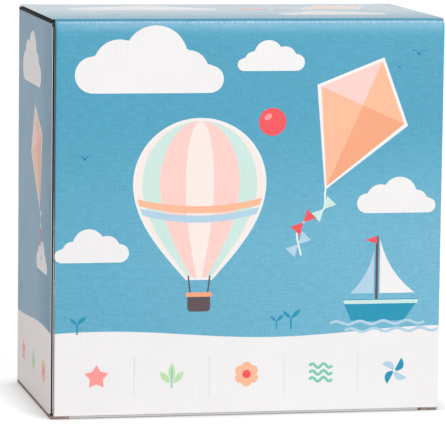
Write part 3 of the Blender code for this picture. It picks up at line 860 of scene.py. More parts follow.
@dataclass
class Crease:
    """A fold in the board: a strip that rounds the corner between two panels.

    wall leads from the corner along the panel that the frame cuts back, and flap along the panel that
    owns the corner. Where the two panels ride on different bodies, the strip rides on none.
    """

    name: str
    start: Vector
    end: Vector
    wall: Vector
    flap: Vector
    wall_body: str
    flap_body: str
    finish: Finish
    set_back: float = 0.0       # how far the wall beside the fold is pressed in
    end_press: float = 0.0      # how far the flap beside the fold is pressed in at the fold's end
    radius: float = 1.4 * MM
    gap: float = CREASE_GAP
    thickness: float = 0.4 * MM
    steps: int = 10
    unevenness: float = 0.05 * MM
    ripples: float = 160.0      # swellings per metre along the fold, roughly
    grid: float = 2.0 * MM      # length of the strip's faces along the fold

    def __post_init__(self) -> None:
        """Lay out the fold's profile: a straight run down the wall, then an arc into the flap."""
        opening = self.wall.angle(self.flap)
        edge = BOARD / math.tan(opening / 2) + self.gap
        side = (self.flap - self.wall * self.flap.dot(self.wall)).normalized()
        tilt = math.atan(2 * self.set_back / PRESS_LENGTH)
        self.foot = self.wall * edge + self.flap * self.set_back
        self.heading = side * math.sin(tilt) - self.wall * math.cos(tilt)
        self.bend = self.heading.angle(self.flap)
        upright = (self.wall - self.flap * self.wall.dot(self.flap)).normalized()
        run = self.foot.dot(upright) / -self.heading.dot(upright)
        tangent = min(self.radius * math.tan(self.bend / 2), run)
        self.radius = tangent / math.tan(self.bend / 2)
        self.straight = run - tangent
        self.fold_end = (self.foot + self.heading * run).dot(self.flap) + tangent

    def flap_cut(self) -> Cut:
        """Return the plane at which the panel that owns the corner gives way to the strip."""
        return self.start + self.flap * self.fold_end, -self.flap

    def spot(self, share: float) -> tuple[Vector, Vector]:
        """Find a place on the outside of the fold.

        Args:
            share: 0 at the cut-back panel, 1 at the other one.

        Returns:
            The place, measured from the corner, and the direction outwards there.
        """
        walked = share * (self.straight + self.radius * self.bend)
        inward = (self.flap - self.heading * math.cos(self.bend)) / math.sin(self.bend)
        if walked < self.straight:
            return self.foot + self.heading * walked, -inward
        turn = (walked - self.straight) / self.radius
        outward = self.heading * math.sin(turn) - inward * math.cos(turn)
        return self.foot + self.heading * self.straight + (inward + outward) * self.radius, outward

    def build(self, inside: Finish, slot: str, dent: Dent) -> None:
        """Make the strip, which rides on one body, or on none where it lies between two.

        Args:
            inside: Finish of its inner side and its cut ends.
            slot: A material slot; not used.
            dent: The knocked corner, for a strip that reaches it.
        """
        run = self.end - self.start
        pieces = max(12, round(run.length / self.grid))
        bm = bmesh.new()
        fold_layer = bm.verts.layers.float.new("fold")
        bmesh.ops.create_grid(bm, x_segments=self.steps, y_segments=pieces, size=0.5)
        for vert in bm.verts:
            share, along = vert.co.x + 0.5, vert.co.y + 0.5
            offset, outward = self.spot(share)
            place = self.start + run * along + offset
            pressed = max(0.0, 1 - run.length * (1 - along) / PRESS_LENGTH) ** 2
            place += self.wall * self.end_press * pressed * share
            swell = noise.noise(place * self.ripples) * self.unevenness * math.sin(math.pi * share)
            vert[fold_layer] = share
            vert.co = place + outward * (swell - PRINT_DEPTH)
        bm.normal_update()
        middle = self.spot(0.5)[1]
        if sum((face.normal for face in bm.faces), Vector()).dot(middle) < 0:
            bmesh.ops.reverse_faces(bm, faces=bm.faces[:])
        outer = set(bm.faces[:])
        bmesh.ops.solidify(bm, geom=bm.faces[:], thickness=self.thickness)
        for face in bm.faces:
            face.material_index = 0 if face in outer else 1
        dent.press(bm)
        own = self.wall_body if self.wall_body == self.flap_body else None
        strip = make_piece(bm, self.name, (self.finish, inside), own, smooth=50)
        if own is None:
            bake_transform(strip)


@dataclass
class BoardPanel:
    """A panel or flap of corrugated board: printed liner, fluted core and kraft liner."""

    node: str
    body: str
    outward: Vector             # roughly, the way the printed side looks
    flutes: Vector              # roughly, the way the flutes run
    finish: Finish
    slot: str
    raw: RawEdge
    cuts: Sequence[Cut] = ()
    regions: Sequence[Sequence[Cut]] = ((),)    # a panel with shoulders is cut region by region
    set_back: float = 0.0       # its upper edge is pressed in this far beside the crease
    set_back_steps: int = 6
    dent: Optional[Dent] = None
    dent_steps: int = 4
    liner: float = 0.24 * MM
    medium: float = 0.24 * MM
    end_recess: float = 0.12 * MM   # the core stops this far short of an edge cut across the flutes
    side_recess: float = 2.20 * MM  # and this far short of an edge cut along them
    columns: int = 10           # steps in one flute

    def __post_init__(self) -> None:
        """Find the true direction and the level of the printed side."""
        bm = cad_copy(self.node)
        bm.normal_update()
        facing = [face for face in bm.faces if face.normal.dot(self.outward) > 0.7]
        self.outward = max(facing, key=lambda face: face.calc_area()).normal.copy()
        self.level = max(vert.co.dot(self.outward) for vert in bm.verts)
        self.flutes = (self.flutes - self.outward * self.flutes.dot(self.outward)).normalized()
        self.across = self.flutes.cross(self.outward)
        self.top = max(vert.co.dot(self.flutes) for vert in bm.verts)
        bm.free()

    def blank(self, region: Sequence[Cut]) -> Shape:
        """Return one region of the panel's solid, cut off where its creases start."""
        bm = cad_copy(self.node)
        for point, away in (*self.cuts, *region):
            cut_away(bm, point, away)
        return bm

    def layer(self, near: float, far: float) -> Shape:
        """Slice a sheet out of the panel.

        Args:
            near: Depth of the sheet's outer face below the frame's printed side.
            far: Depth of its inner face.

        Returns:
            The closed sheet.
        """
        sheets = []
        for region in self.regions:
            bm = self.blank(region)
            cut_away(bm, self.outward * (self.level - near), self.outward)
            cut_away(bm, self.outward * (self.level - far), -self.outward)
            sheets.append(bm)
        sheet = self.pressed(join(sheets))
        across = sheet.verts.layers.float.new("across")
        for vert in sheet.verts:
            vert[across] = vert.co.dot(self.across)
        return sheet

    def pressed(self, bm: Shape) -> Shape:
        """Press a sheet in along the panel's upper edge, beside the crease, and at a knocked corner.

        Args:
            bm: The flat sheet.

        Returns:
            The same sheet, curved inwards over its last few millimetres.
        """
        foot = self.top - PRESS_LENGTH
        for step in range(self.set_back_steps if self.set_back else 0):
            level = foot + PRESS_LENGTH * step / self.set_back_steps
            slice_through(bm, self.flutes * level, self.flutes)
        for vert in bm.verts:
            share = max(0.0, (vert.co.dot(self.flutes) - foot) / PRESS_LENGTH)
            vert.co -= self.outward * self.set_back * share ** 2
        if self.dent is not None:
            self.dent.press(bm, self.dent_steps)
        return bm

    def section(self, region: Sequence[Cut]) -> list[tuple[float, float, float, float]]:
        """Return a region's outline at half its thickness, as lines between pairs of across and along."""
        bm = self.blank(region)
        middle = self.outward * (self.level - BOARD / 2)
        across, along = self.across, self.flutes
        lines = []
        for part in slice_through(bm, middle, self.outward):
            if isinstance(part, bmesh.types.BMEdge):
                a, b = (vert.co for vert in part.verts)
                lines.append((a.dot(across), a.dot(along), b.dot(across), b.dot(along)))
        bm.free()
        return lines

    @staticmethod
    def reach(lines: Sequence[Sequence[float]]) -> tuple[float, float]:
        """Return the least and the greatest distance across that some lines of a section come to."""
        places = [line[end] for line in lines for end in (0, 2)]
        return min(places), max(places)

    def core(self) -> Shape:
        """Make the fluted paper, fitted to the panel's outline.

        Returns:
            A closed wavy sheet for each region.
        """
        near = PRINT_DEPTH + self.liner + self.medium / 2
        far = BOARD - self.liner - self.medium / 2
        sections = [self.section(region) for region in self.regions]
        first, last = self.reach([line for lines in sections for line in lines])
        sheets = []
        for lines in sections:
            low, high = self.reach(lines)
            low = max(low + WELD, first + self.side_recess)
            high = min(high - WELD, last - self.side_recess)
            bm = bmesh.new()
            count = max(8, round((high - low) / FLUTE_PITCH * self.columns))
            bmesh.ops.create_grid(bm, x_segments=count, y_segments=1, size=0.5)
            for vert in bm.verts:
                across = low + (vert.co.x + 0.5) * (high - low)
                ends = []
                for a0, t0, a1, t1 in lines:
                    if min(a0, a1) <= across <= max(a0, a1) and a0 != a1:
                        ends.append(t0 + (t1 - t0) * (across - a0) / (a1 - a0))
                along = min(ends) + self.end_recess if vert.co.y < 0 else max(ends) - self.end_recess
                wave = math.sin(2 * math.pi * across / FLUTE_PITCH)
                depth = (near + far) / 2 + wave * (far - near) / 2
                vert.co = self.across * across + self.flutes * along + self.outward * (self.level - depth)
            bm.normal_update()
            bmesh.ops.solidify(bm, geom=bm.faces[:], thickness=self.medium)
            bmesh.ops.recalc_face_normals(bm, faces=bm.faces[:])
            sheets.append(bm)
        return self.pressed(join(sheets))

    def build(self) -> None:
        """Make the three sheets and stand them in for the frame's solid."""
        printed = self.layer(PRINT_DEPTH, PRINT_DEPTH + self.liner)
        paint_faces(printed, self.outward)
        make_piece(printed, self.node + "_print", (self.finish, self.raw.paper, self.raw.painted_hollow),
                   self.body, smooth=20, replaces=(self.node,))
        make_piece(self.core(), self.node + "_flutes", (self.raw.flutes,), self.body,
                   smooth=60)
        lining = self.layer(BOARD - self.liner, BOARD)
        paint_faces(lining, -self.outward)
        make_piece(lining, self.node + "_lining", (Looks.liner, self.raw.kraft, self.raw.painted_hollow),
                   self.body, smooth=20)


def on_circle(centre: Vector, radius: float, angle: float) -> Vector:
    """Return a point on a circle, at an angle in degrees."""
    turn = math.radians(angle)
    return centre + Vector((math.cos(turn), math.sin(turn))) * radius


def turned(points: Iterable[Vector], centre: Vector, angle: float) -> Outline:
    """Return points turned about a centre by an angle in degrees."""
    turn = Matrix.Rotation(math.radians(angle), 2)
    return [centre + turn @ (point - centre) for point in points]


def disc(centre: Vector, radius: float, points: int = 48) -> Outline:
    """Return a round outline."""
    return [on_circle(centre, radius, 360.0 * index / points) for index in range(points)]


def oval(centre: Vector, width: float, height: float, points: int = 40) -> Outline:
    """Return an outline of an ellipse, by its half width and half height."""
    outline = disc(Vector((0.0, 0.0)), 1.0, points)
    return [centre + Vector((point.x * width, point.y * height)) for point in outline]


def union(centre: Vector, circles: Sequence[tuple[float, float, float]], floor: Optional[float] = None,
          points: int = 144) -> Outline:
    """Return the outer line of overlapping circles, as seen from a middle that they share.

    Args:
        centre: The middle, inside the shape.
        circles: Offset to the right, offset upwards and radius of each circle.
        floor: Lowest offset; the shape is cut flat there.
        points: Points in the outline.

    Returns:
        The outline.
    """
    outline = []
    lefts = [right for right, _, _ in circles]
    for index in range(points):
        turn = 2 * math.pi * index / points
        way = Vector((math.cos(turn), math.sin(turn)))
        far = 0.0
        if floor is not None and way.y < 0 and min(lefts) <= way.x * floor / way.y <= max(lefts):
            far = floor / way.y
        for right, up, radius in circles:
            middle = Vector((right, up))
            ahead = way.dot(middle)
            inside = radius * radius - (middle.length_squared - ahead * ahead)
            if inside > 0:
                far = max(far, ahead + math.sqrt(inside))
        spot = way * far
        if floor is not None and spot.y < floor:
            spot *= floor / spot.y
        outline.append(centre + spot)
    return outline


def stroke(points: Sequence[Vector], width: float, taper: float = 1.0) -> Outline:
    """Return a line drawn with a width.

    Args:
        points: The middle of the line.
        width: Its width at the start.
        taper: Width at the end, as a share of that at the start.

    Returns:
        The outline.
    """
    left, right = [], []
    for index, point in enumerate(points):
        before = points[max(0, index - 1)]
        after = points[min(len(points) - 1, index + 1)]
        way = (after - before).normalized()
        share = index / (len(points) - 1)
        half = width / 2 * (1 + (taper - 1) * share)
        side = Vector((-way.y, way.x)) * half
        left.append(point + side)
        right.append(point - side)
    return left + right[::-1]


def bowed(start: Vector, end: Vector, bow: float, points: int = 14) -> Outline:
    """Return points along a line that bows to its left."""
    way = end - start
    side = Vector((-way.y, way.x)) * bow
    shares = [index / (points - 1) for index in range(points)]
    return [start + way * share + side * 4 * share * (1 - share) for share in shares]


def leaf(base: Vector, tip: Vector, fullness: float) -> Outline:
    """Return a pointed leaf between two points."""
    return bowed(base, tip, fullness) + bowed(tip, base, fullness)[1:-1]


def rounded_box(centre: Vector, width: float, height: float, radius: float) -> Outline:
    """Return a rectangle with round corners."""
    outline = []
    for right, up, start in ((1, 1, 0), (-1, 1, 90), (-1, -1, 180), (1, -1, 270)):
        corner = centre + Vector((right * (width / 2 - radius), up * (height / 2 - radius)))
        outline += [on_circle(corner, radius, start + 15 * step) for step in range(7)]
    return outline


@dataclass
class PrintSheet:
    """The inks on one printed face, in millimetres to the right and up from the middle of its foot."""

    name: str
    body: str
    origin: Vector
    right: Vector
    up: Vector
    lying: bool = False
    film: float = 0.0216        # thickness of one layer of ink
    clearance: float = 0.005    # the lowest layer starts this far above the paper
    shapes: dict[Ink, list[tuple[int, Outline]]] = field(default_factory=dict)

    @property
    def outward(self) -> Vector:
        """The way that the face Looks."""
        return self.right.cross(self.up)

    def draw(self, ink: Ink, layer: int, outline: Outline) -> None:
        """Add one filled shape.

        Args:
            ink: Its ink.
            layer: 0 for the lowest; a higher layer covers a lower one.
            outline: Its edge.
        """
        self.shapes.setdefault(ink, []).append((layer, outline))

    def cloud(self, right: float, up: float, scale: float, flip: bool = False) -> None:
        """Draw a white cloud with a flat foot."""
        side = -1 if flip else 1
        lobes = [(-34, 4, 12), (-17, 10, 17), (7, 15, 21), (28, 6, 14), (43, 1, 9), (-6, 0, 16),
                 (18, 0, 16)]
        circles = [(x * scale * side, y * scale, r * scale) for x, y, r in lobes]
        self.draw(Ink.WHITE, 0, union(Vector((right, up)), circles, -8.0 * scale))

    def balloon(self, right: float, up: float, radius: float) -> None:
        """Draw a striped hot-air balloon with a basket."""
        inks = (Ink.CREAM, Ink.MINT, Ink.PINK, Ink.CREAM, Ink.PINK, Ink.MINT, Ink.CREAM)
        neck = 0.20
        widest, crown = 0.60, 0.40      # shares of the height below and above the widest level
        steps = 24

        def half_width(share: float) -> float:
            """Return the half width at a share of the height, from the neck to the crown."""
            if share > widest:
                return math.sqrt(max(0.0, 1 - ((share - widest) / crown) ** 2)) * radius
            return (neck + (1 - neck) * math.sin(math.pi / 2 * share / widest)) * radius

        foot = up - 1.42 * radius
        height = 2.42 * radius
        low = [widest * index / steps for index in range(steps)]
        high = [widest + crown * math.sin(math.pi / 2 * index / steps) for index in range(steps + 1)]
        levels = low + high

        def seam(share: float) -> Outline:
            """Return a seam from the neck up to the crown, at a share of the half width."""
            points = [(right + share * half_width(level), foot + level * height) for level in levels[:-1]]
            return [Vector(point) for point in points]

        edge = 1.7
        middle = Vector((right, foot + widest * height))
        skirt = [Vector((right + half_width(level), foot + level * height)) for level in levels]
        skirt = [point + (point - middle).normalized() * edge for point in skirt]
        mirror = [Vector((2 * right - point.x, point.y)) for point in skirt[::-1]]
        self.draw(Ink.WHITE, 0, skirt + mirror[1:])
        bounds = [math.sin(math.pi * (index / len(inks) - 0.5)) for index in range(len(inks) + 1)]
        for ink, left, far in zip(inks, bounds, bounds[1:]):
            self.draw(ink, 1, seam(far) + [Vector((right, foot + height))] + seam(left)[::-1])
        for level, ink in ((0.40, Ink.SKY), (0.46, Ink.PEACH)):
            belt = []
            for sign in (0, 1):
                lift = level + 0.045 * sign
                shares = [index / 16 - 1 for index in range(33)]
                row = []
                for share in shares:
                    sag = 0.05 * (1 - share ** 2)
                    row.append(Vector((right + share * half_width(lift), foot + (lift - sag) * height)))
                belt += row[::-1] if sign else row
            self.draw(ink, 2, belt)
        basket = Vector((right, foot - 0.40 * radius))
        for side in (-1, 1):
            top = Vector((right + side * 0.17 * radius, foot + 0.02 * radius))
            low = basket + Vector((side * 0.13 * radius, 0.1 * radius))
            self.draw(Ink.BROWN, 1, stroke([top, low], 0.9))
        self.draw(Ink.BROWN, 2, rounded_box(basket, 0.36 * radius, 0.27 * radius, 0.06 * radius))
        rim = basket + Vector((0.0, 0.13 * radius))
        self.draw(Ink.APRICOT, 3, rounded_box(rim, 0.42 * radius, 0.07 * radius, 0.03 * radius))

    def kite(self, right: float, up: float, size: float, angle: float) -> None:
        """Draw a four-part kite with a waving tail of small bows."""
        centre = Vector((right, up))
        corners = [Vector((0, 1.0)), Vector((0.86, 0.12)), Vector((0, -1.5)), Vector((-0.86, 0.12))]
        frame_points = turned([centre + corner * size for corner in corners], centre, angle)
        hub = turned([centre + Vector((0, 0.12)) * size], centre, angle)[0]
        rim = [hub + (point - hub) * (1 + 2.6 / (point - hub).length) for point in frame_points]
        self.draw(Ink.WHITE, 0, rim)
        inks = (Ink.PEACH, Ink.APRICOT, Ink.PEACH, Ink.PINK)
        for index, ink in enumerate(inks):
            self.draw(ink, 1, [hub, frame_points[index], frame_points[(index + 1) % 4]])
        tip = frame_points[2]
        drift = turned([centre + Vector((0, -1))], centre, angle)[0] - centre
        side = Vector((-drift.y, drift.x))
        line = []
        for index in range(41):
            share = index / 40
            wave = math.sin(share * 2.2 * math.pi) * size * 0.16 * min(1.0, 3 * share)
            line.append(tip + drift * size * 1.35 * share + side * wave)
        self.draw(Ink.WHITE, 1, stroke(line, 1.1))
        for index, ink in ((12, Ink.MINT), (23, Ink.RED), (35, Ink.SKY)):
            for turn in (70, -110):
                wing = [Vector((0, 0)), Vector((0.22, 0.12)) * size, Vector((0.22, -0.12)) * size]
                wing = turned([line[index] + point for point in wing], line[index], angle + turn)
                self.draw(ink, 2, wing)

    def ball(self, right: float, up: float, radius: float) -> None:
        """Draw a red ball with a soft light on it."""
        centre = Vector((right, up))
        self.draw(Ink.RED, 1, disc(centre, radius))
        shine = centre + Vector((-0.32, 0.36)) * radius
        self.draw(Ink.ROSE, 2, turned(oval(shine, 0.3 * radius, 0.2 * radius), shine, 35))

    def bird(self, right: float, up: float, span: float) -> None:
        """Draw a small far-off bird."""
        body = Vector((right, up))
        for side in (-1, 1):
            tip = body + Vector((side * span / 2, 0.26 * span))
            self.draw(Ink.TEAL, 1, stroke(bowed(body, tip, 0.22 * side), 0.11 * span, 0.3))

    def sprout(self, right: float, up: float, size: float) -> None:
        """Draw a sprout of two leaves on a stem."""
        base = Vector((right, up))
        top = base + Vector((0.0, 0.55 * size))
        self.draw(Ink.TEAL, 1, stroke([base, top], 0.09 * size))
        self.draw(Ink.TEAL, 2, leaf(top, base + Vector((0.5, 1.0)) * size, 0.16))
        self.draw(Ink.TEAL, 2, leaf(top, base + Vector((-0.42, 0.92)) * size, 0.16))

    def star(self, right: float, up: float, radius: float) -> None:
        """Draw a plump five-pointed star."""
        centre = Vector((right, up))
        points = [on_circle(centre, radius * (1.0 if index % 2 == 0 else 0.56), 90 + 36 * index)
                  for index in range(10)]
        self.draw(Ink.ROSE, 1, points)

    def flower(self, right: float, up: float, radius: float) -> None:
        """Draw a flower of six round petals."""
        centre = Vector((right, up))
        petals = []
        for index in range(6):
            spot = on_circle(Vector((0, 0)), 0.58 * radius, 60 * index + 30)
            petals.append((spot.x, spot.y, 0.42 * radius))
        self.draw(Ink.PEACH, 1, union(centre, petals))
        self.draw(Ink.RED, 2, disc(centre, 0.34 * radius))

    def waves(self, right: float, up: float, width: float) -> None:
        """Draw three waving lines, one over the other."""
        for row in (-1, 0, 1):
            line = []
            for index in range(33):
                share = index / 32 - 0.5
                lift = math.sin(share * 4 * math.pi) * 0.09 * width
                line.append(Vector((right + share * width, up + row * 0.3 * width + lift)))
            self.draw(Ink.JADE, 1, stroke(line, 0.12 * width))

    def leaves(self, right: float, up: float, size: float) -> None:
        """Draw a twig with three leaves."""
        base = Vector((right, up - 0.5 * size))
        tip = Vector((right, up + 0.5 * size))
        self.draw(Ink.LEAF, 1, leaf(base + Vector((0, 0.3 * size)), tip, 0.2))
        for side in (-1, 1):
            self.draw(Ink.LEAF, 1, leaf(base + Vector((side * 0.06, 0.2)) * size,
                                        base + Vector((side * 0.48, 0.66)) * size, 0.2))
        self.draw(Ink.JADE, 2, stroke([base, tip - Vector((0, 0.25 * size))], 0.05 * size))

    def pinwheel(self, right: float, up: float, radius: float) -> None:
        """Draw a pinwheel of four blades."""
        centre = Vector((right, up))
        for index in range(4):
            ink = Ink.TEAL if index % 2 == 0 else Ink.SKY
            tip = on_circle(centre, radius, 90 * index + 62)
            heel = on_circle(centre, 0.62 * radius, 90 * index + 17)
            self.draw(ink, 1, bowed(centre, heel, -0.12) + bowed(heel, tip, -0.16)[1:])
        self.draw(Ink.WHITE, 2, disc(centre, 0.1 * radius, 24))

    def boat(self, right: float, up: float, size: float) -> None:
        """Draw a sailing boat, by the place of its water line and its height."""
        water = Vector((right, up))

        def at(x: float, y: float) -> Vector:
            """Return a place on the boat, as shares of its height."""
            return water + Vector((x, y)) * size

        self.draw(Ink.BROWN, 1, stroke([at(0, 0.1), at(0, 1.0)], 0.035 * size))
        self.draw(Ink.WHITE, 2, [at(0.04, 0.24)] + bowed(at(0.52, 0.24), at(0.04, 0.96), 0.09))
        self.draw(Ink.SKY, 2, bowed(at(-0.04, 0.82), at(-0.36, 0.24), 0.08) + [at(-0.04, 0.24)])
        self.draw(Ink.RED, 2, [at(0, 1.0), at(-0.17, 0.95), at(0, 0.9)])
        keel = bowed(at(-0.34, -0.12), at(0.38, -0.12), -0.02)
        self.draw(Ink.TEAL, 2, keel + [at(0.58, 0.16), at(-0.46, 0.16)])
        self.draw(Ink.MINT, 3, [at(-0.43, 0.10), at(0.555, 0.10), at(0.575, 0.15), at(-0.455, 0.15)])
        for row, (left, far) in enumerate(((-0.62, 0.66), (-0.42, 0.84))):
            line = []
            for index in range(41):
                share = index / 40
                lift = math.sin(share * 8 * math.pi) * 0.022
                line.append(at(left + (far - left) * share, -0.15 - 0.1 * row + lift))
            self.draw(Ink.SKY, 3, stroke(line, 0.036 * size))

    def divider(self, right: float, low: float, high: float) -> None:
        """Draw a thin upright line between two icons."""
        self.draw(Ink.MINT, 0, stroke([Vector((right, low)), Vector((right, high))], 0.5))

    def build(self) -> None:
        """Lay every ink on the face as thin closed films."""
        for ink, shapes in self.shapes.items():
            bm = bmesh.new()
            for layer, outline in shapes:
                foot = self.clearance + self.film * layer
                verts = []
                for point in outline:
                    flat = self.right * point.x + self.up * point.y + self.outward * foot
                    verts.append(bm.verts.new(self.origin + flat * MM - self.outward * PRINT_DEPTH))
                sheet = bm.faces.new(verts)
                lifted = bmesh.ops.extrude_face_region(bm, geom=[sheet])["geom"]
                moved = [part for part in lifted if isinstance(part, bmesh.types.BMVert)]
                bmesh.ops.translate(bm, verts=moved, vec=self.outward * self.film * MM)
            bmesh.ops.recalc_face_normals(bm, faces=bm.faces[:])
            name = f"{self.name}_{ink.name.lower()}_ink"
            make_piece(bm, name, (Looks.ink(ink, self.lying),), self.body)


@dataclass
class Carton:
    """The reverse-tuck carton: four walls, a glue flap and two closures of four flaps each."""

    lean: float = math.radians(11.5)    # the tuck flaps lean into the carton by this angle
    shoulder: float = 1.9 * MM          # a shoulder reaches this far past the tuck crease
    slit: float = 0.6 * MM              # between a shoulder and the tuck crease
    tight_radius: float = 0.6 * MM      # outer radius of the folds that turn into the carton
    front_set_back: float = 0.90 * MM   # the front wall is pressed in this far under the lid's crease

    def __post_init__(self) -> None:
        """Read the carton's faces from the frame."""
        front_low, front_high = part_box("front_panel")
        back_low, back_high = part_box("back_panel")
        lid_low, lid_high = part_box("lid_panel")
        self.left, self.right = back_low.x, back_high.x
        self.front, self.back = front_low.y, back_high.y
        self.top = lid_high.z
        self.wall_low, self.wall_high = front_low.z, front_high.z
        self.front_end = front_low.x
        self.lid_left, self.lid_right = lid_low.x, lid_high.x
        self.creases: dict[str, Crease] = {}
        corner = Vector((self.right, self.front, self.top))
        self.dent = Dent(corner, Vector((-0.5, 0.25, -1.3)) * MM)

    def fold(self, name: str, start: Vector, end: Vector, wall: Vector, flap: Vector,
             bodies: tuple[str, str], finish: Finish, **sizes: float) -> None:
        """Keep one crease, named for the fold that it covers."""
        self.creases[name] = Crease(name, start, end, wall, flap, bodies[0], bodies[1], finish, **sizes)

    def lay_out_folds(self) -> None:
        """List every crease of the carton."""
        low, high = self.wall_low, self.wall_high
        fixed = ("carton", "carton")
        corners = (
            ("front_right_crease", self.right, self.front, Y, -X),
            ("back_right_crease", self.right, self.back, -Y, -X),
            ("back_left_crease", self.left, self.back, -Y, X),
            ("glue_flap_crease", self.front_end, self.front, Y, X),
        )
        for name, x, y, wall, flap in corners:
            press = self.front_set_back if y < 0 else 0.0
            finish = Looks.seam_fold if name == "glue_flap_crease" else Looks.wall_fold
            self.fold(name, Vector((x, y, low)), Vector((x, y, high)), wall, flap, fixed, finish,
                      end_press=press)
        for prefix, upright in (("lid", 1), ("base", -1)):
            self.lay_out_closure(prefix, upright)

    def lay_out_closure(self, prefix: str, upright: int) -> None:
        """List the creases of one closure.

        Args:
            prefix: "lid" or "base".
            upright: 1 for the lid, -1 for the base, which is the lid turned upside down.
        """
        lid = upright > 0
        level = self.top if lid else 0.0
        hinge_y = self.front if lid else self.back
        inward = Y * upright
        fold_finish = Looks.lid_fold if lid else Looks.white_fold
        left = Vector((self.front_end if lid else self.lid_left, hinge_y, level))
        right = Vector((self.lid_right, hinge_y, level))
        set_back = self.front_set_back if lid else 0.0
        self.fold(f"{prefix}_crease", left, right, -Z * upright, inward, ("carton", prefix), fold_finish,
                  set_back=set_back)
        flap_low, flap_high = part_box(f"{prefix}_tuck_flap")
        tuck_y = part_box(f"{prefix}_panel")[1 if lid else 0].y - inward.y * self.shoulder
        down = -Z * upright * math.cos(self.lean) - inward * math.sin(self.lean)
        left = Vector((flap_low.x, tuck_y, level))
        right = Vector((flap_high.x, tuck_y, level))
        self.fold(f"{prefix}_tuck_crease", left, right, down, -inward, (f"{prefix}_tuck", prefix),
                  fold_finish, radius=self.tight_radius)
        for side, x, flap in (("left", self.left, X), ("right", self.right, -X)):
            node_low, node_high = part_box(f"{prefix}_dust_flap_{side}")
            height = node_high.z if lid else node_low.z
            start, end = Vector((x, node_low.y, height)), Vector((x, node_high.y, height))
            finish = Looks.dust_fold if lid else Looks.white_fold
            self.fold(f"{prefix}_dust_{side}_crease", start, end, -Z * upright, flap,
                      ("carton", f"{prefix}_dust_{side}"), finish, radius=self.tight_radius)

    def shouldered(self, tuck: Crease) -> list[list[Cut]]:
        """Split a closing panel into its middle, which ends at the tuck crease, and its two shoulders.

        Args:
            tuck: The crease between the shoulders.

        Returns:
            The cuts of each region.
        """
        half = X * (tuck.end.x + self.slit / 2)
        middle = [(half, X), (-half, -X), tuck.flap_cut()]
        return [middle, [(half, -X)], [(-half, X)]]

    def panels(self) -> list[BoardPanel]:
        """List every panel and flap.

        Returns:
            The boards, ready to build.
        """
        cut = {name: crease.flap_cut() for name, crease in self.creases.items()}
        front_cuts = (cut["front_right_crease"], cut["glue_flap_crease"])
        back_cuts = (cut["back_right_crease"], cut["back_left_crease"])
        boards = [
            BoardPanel("front_panel", "carton", -Y, Z, Looks.front, "printed_board", Looks.raw,
                       front_cuts, set_back=self.front_set_back, dent=self.dent),
            BoardPanel("back_panel", "carton", Y, Z, Looks.wall, "printed_board", Looks.raw, back_cuts),
            BoardPanel("right_panel", "carton", X, Z, Looks.side, "printed_board", Looks.raw),
            BoardPanel("left_panel", "carton", -X, Z, Looks.side, "printed_board", Looks.seam),
            BoardPanel("glue_flap", "carton", -X, Z, Looks.liner, "kraft_board", Looks.raw),
        ]
        white, painted_light_edge = Looks.white, Looks.painted_light_edge
        closures = (
            ("lid", Z, Y, "printed_board", Looks.lid, Looks.tuck, Looks.dust, Looks.painted_shade_edge, Looks.raw,
             self.dent),
            ("base", -Z, -Y, "plain_board", white, white, white, painted_light_edge, painted_light_edge, None),
        )
        for prefix, facing, wall, slot, panel, tuck, dust, rim, edge, dent in closures:
            shoulders = self.shouldered(self.creases[f"{prefix}_tuck_crease"])
            boards.append(BoardPanel(f"{prefix}_panel", prefix, facing, Y, panel, slot, rim,
                                     (cut[f"{prefix}_crease"],), shoulders, dent=dent))
            boards.append(BoardPanel(f"{prefix}_tuck_flap", f"{prefix}_tuck", wall, Z, tuck,
                                     "kraft_board", edge))
            for side in ("left", "right"):
                trim = (cut[f"{prefix}_dust_{side}_crease"],)
                boards.append(BoardPanel(f"{prefix}_dust_flap_{side}", f"{prefix}_dust_{side}", facing, X,
                                         dust, "plain_board", Looks.raw, trim))
        return boards

    def sheets(self) -> list[PrintSheet]:
        """Draw the print of each face.

        Returns:
            The faces with their inks.
        """
        front = PrintSheet("front", "carton", Vector((0, self.front, 0)), X, Z)
        front.cloud(-64, 203, 0.92)
        front.cloud(14, 212, 0.42, flip=True)
        front.cloud(90, 126, 0.5)
        front.cloud(-94, 98, 0.46, flip=True)
        front.balloon(-30, 140, 39)
        front.kite(68, 184, 33, -24)
        front.ball(14, 178, 8.4)
        front.bird(104, 218, 10)
        front.bird(92, 210, 7)
        front.bird(-100, 156, 9)
        front.sprout(-104, 51, 11)
        front.sprout(18, 52, 9)
        front.sprout(27, 52, 12)
        front.boat(80, 62, 46)
        self.icon_row(front, (-92, -46, 0, 46, 92))
        left = PrintSheet("left", "carton", Vector((self.left, 0, 0)), -Y, Z)
        left.cloud(-14, 201, 0.74)
        left.kite(10, 158, 24, 18)
        left.bird(-44, 170, 9)
        left.cloud(30, 88, 0.42)
        left.sprout(-52, 55, 11)
        self.icon_row(left, (-40, 0, 40))
        right = PrintSheet("right", "carton", Vector((self.right, 0, 0)), Y, Z)
        right.cloud(18, 204, 0.66, flip=True)
        right.balloon(0, 146, 34)
        right.ball(-46, 186, 7)
        right.bird(48, 172, 9)
        right.cloud(-44, 90, 0.38)
        right.sprout(54, 54, 11)
        self.icon_row(right, (-40, 0, 40))
        back = PrintSheet("back", "carton", Vector((0, self.back, 0)), -X, Z)
        back.cloud(58, 196, 0.9, flip=True)
        back.cloud(-34, 212, 0.46)
        back.kite(-66, 176, 33, 22)
        back.balloon(36, 146, 38)
        back.ball(-12, 132, 8)
        back.cloud(-88, 96, 0.5)
        back.bird(98, 160, 9)
        back.bird(-100, 222, 9)
        back.sprout(-20, 55, 11)
        back.sprout(98, 53, 12)
        self.icon_row(back, (-90, -45, 0, 45, 90))
        lid = PrintSheet("lid", "lid", Vector((0, 0, self.top)), X, Y, lying=True)
        lid.cloud(-52, 18, 0.95)
        lid.cloud(62, -26, 0.7, flip=True)
        lid.ball(20, 22, 9)
        lid.kite(76, 34, 20, -60)
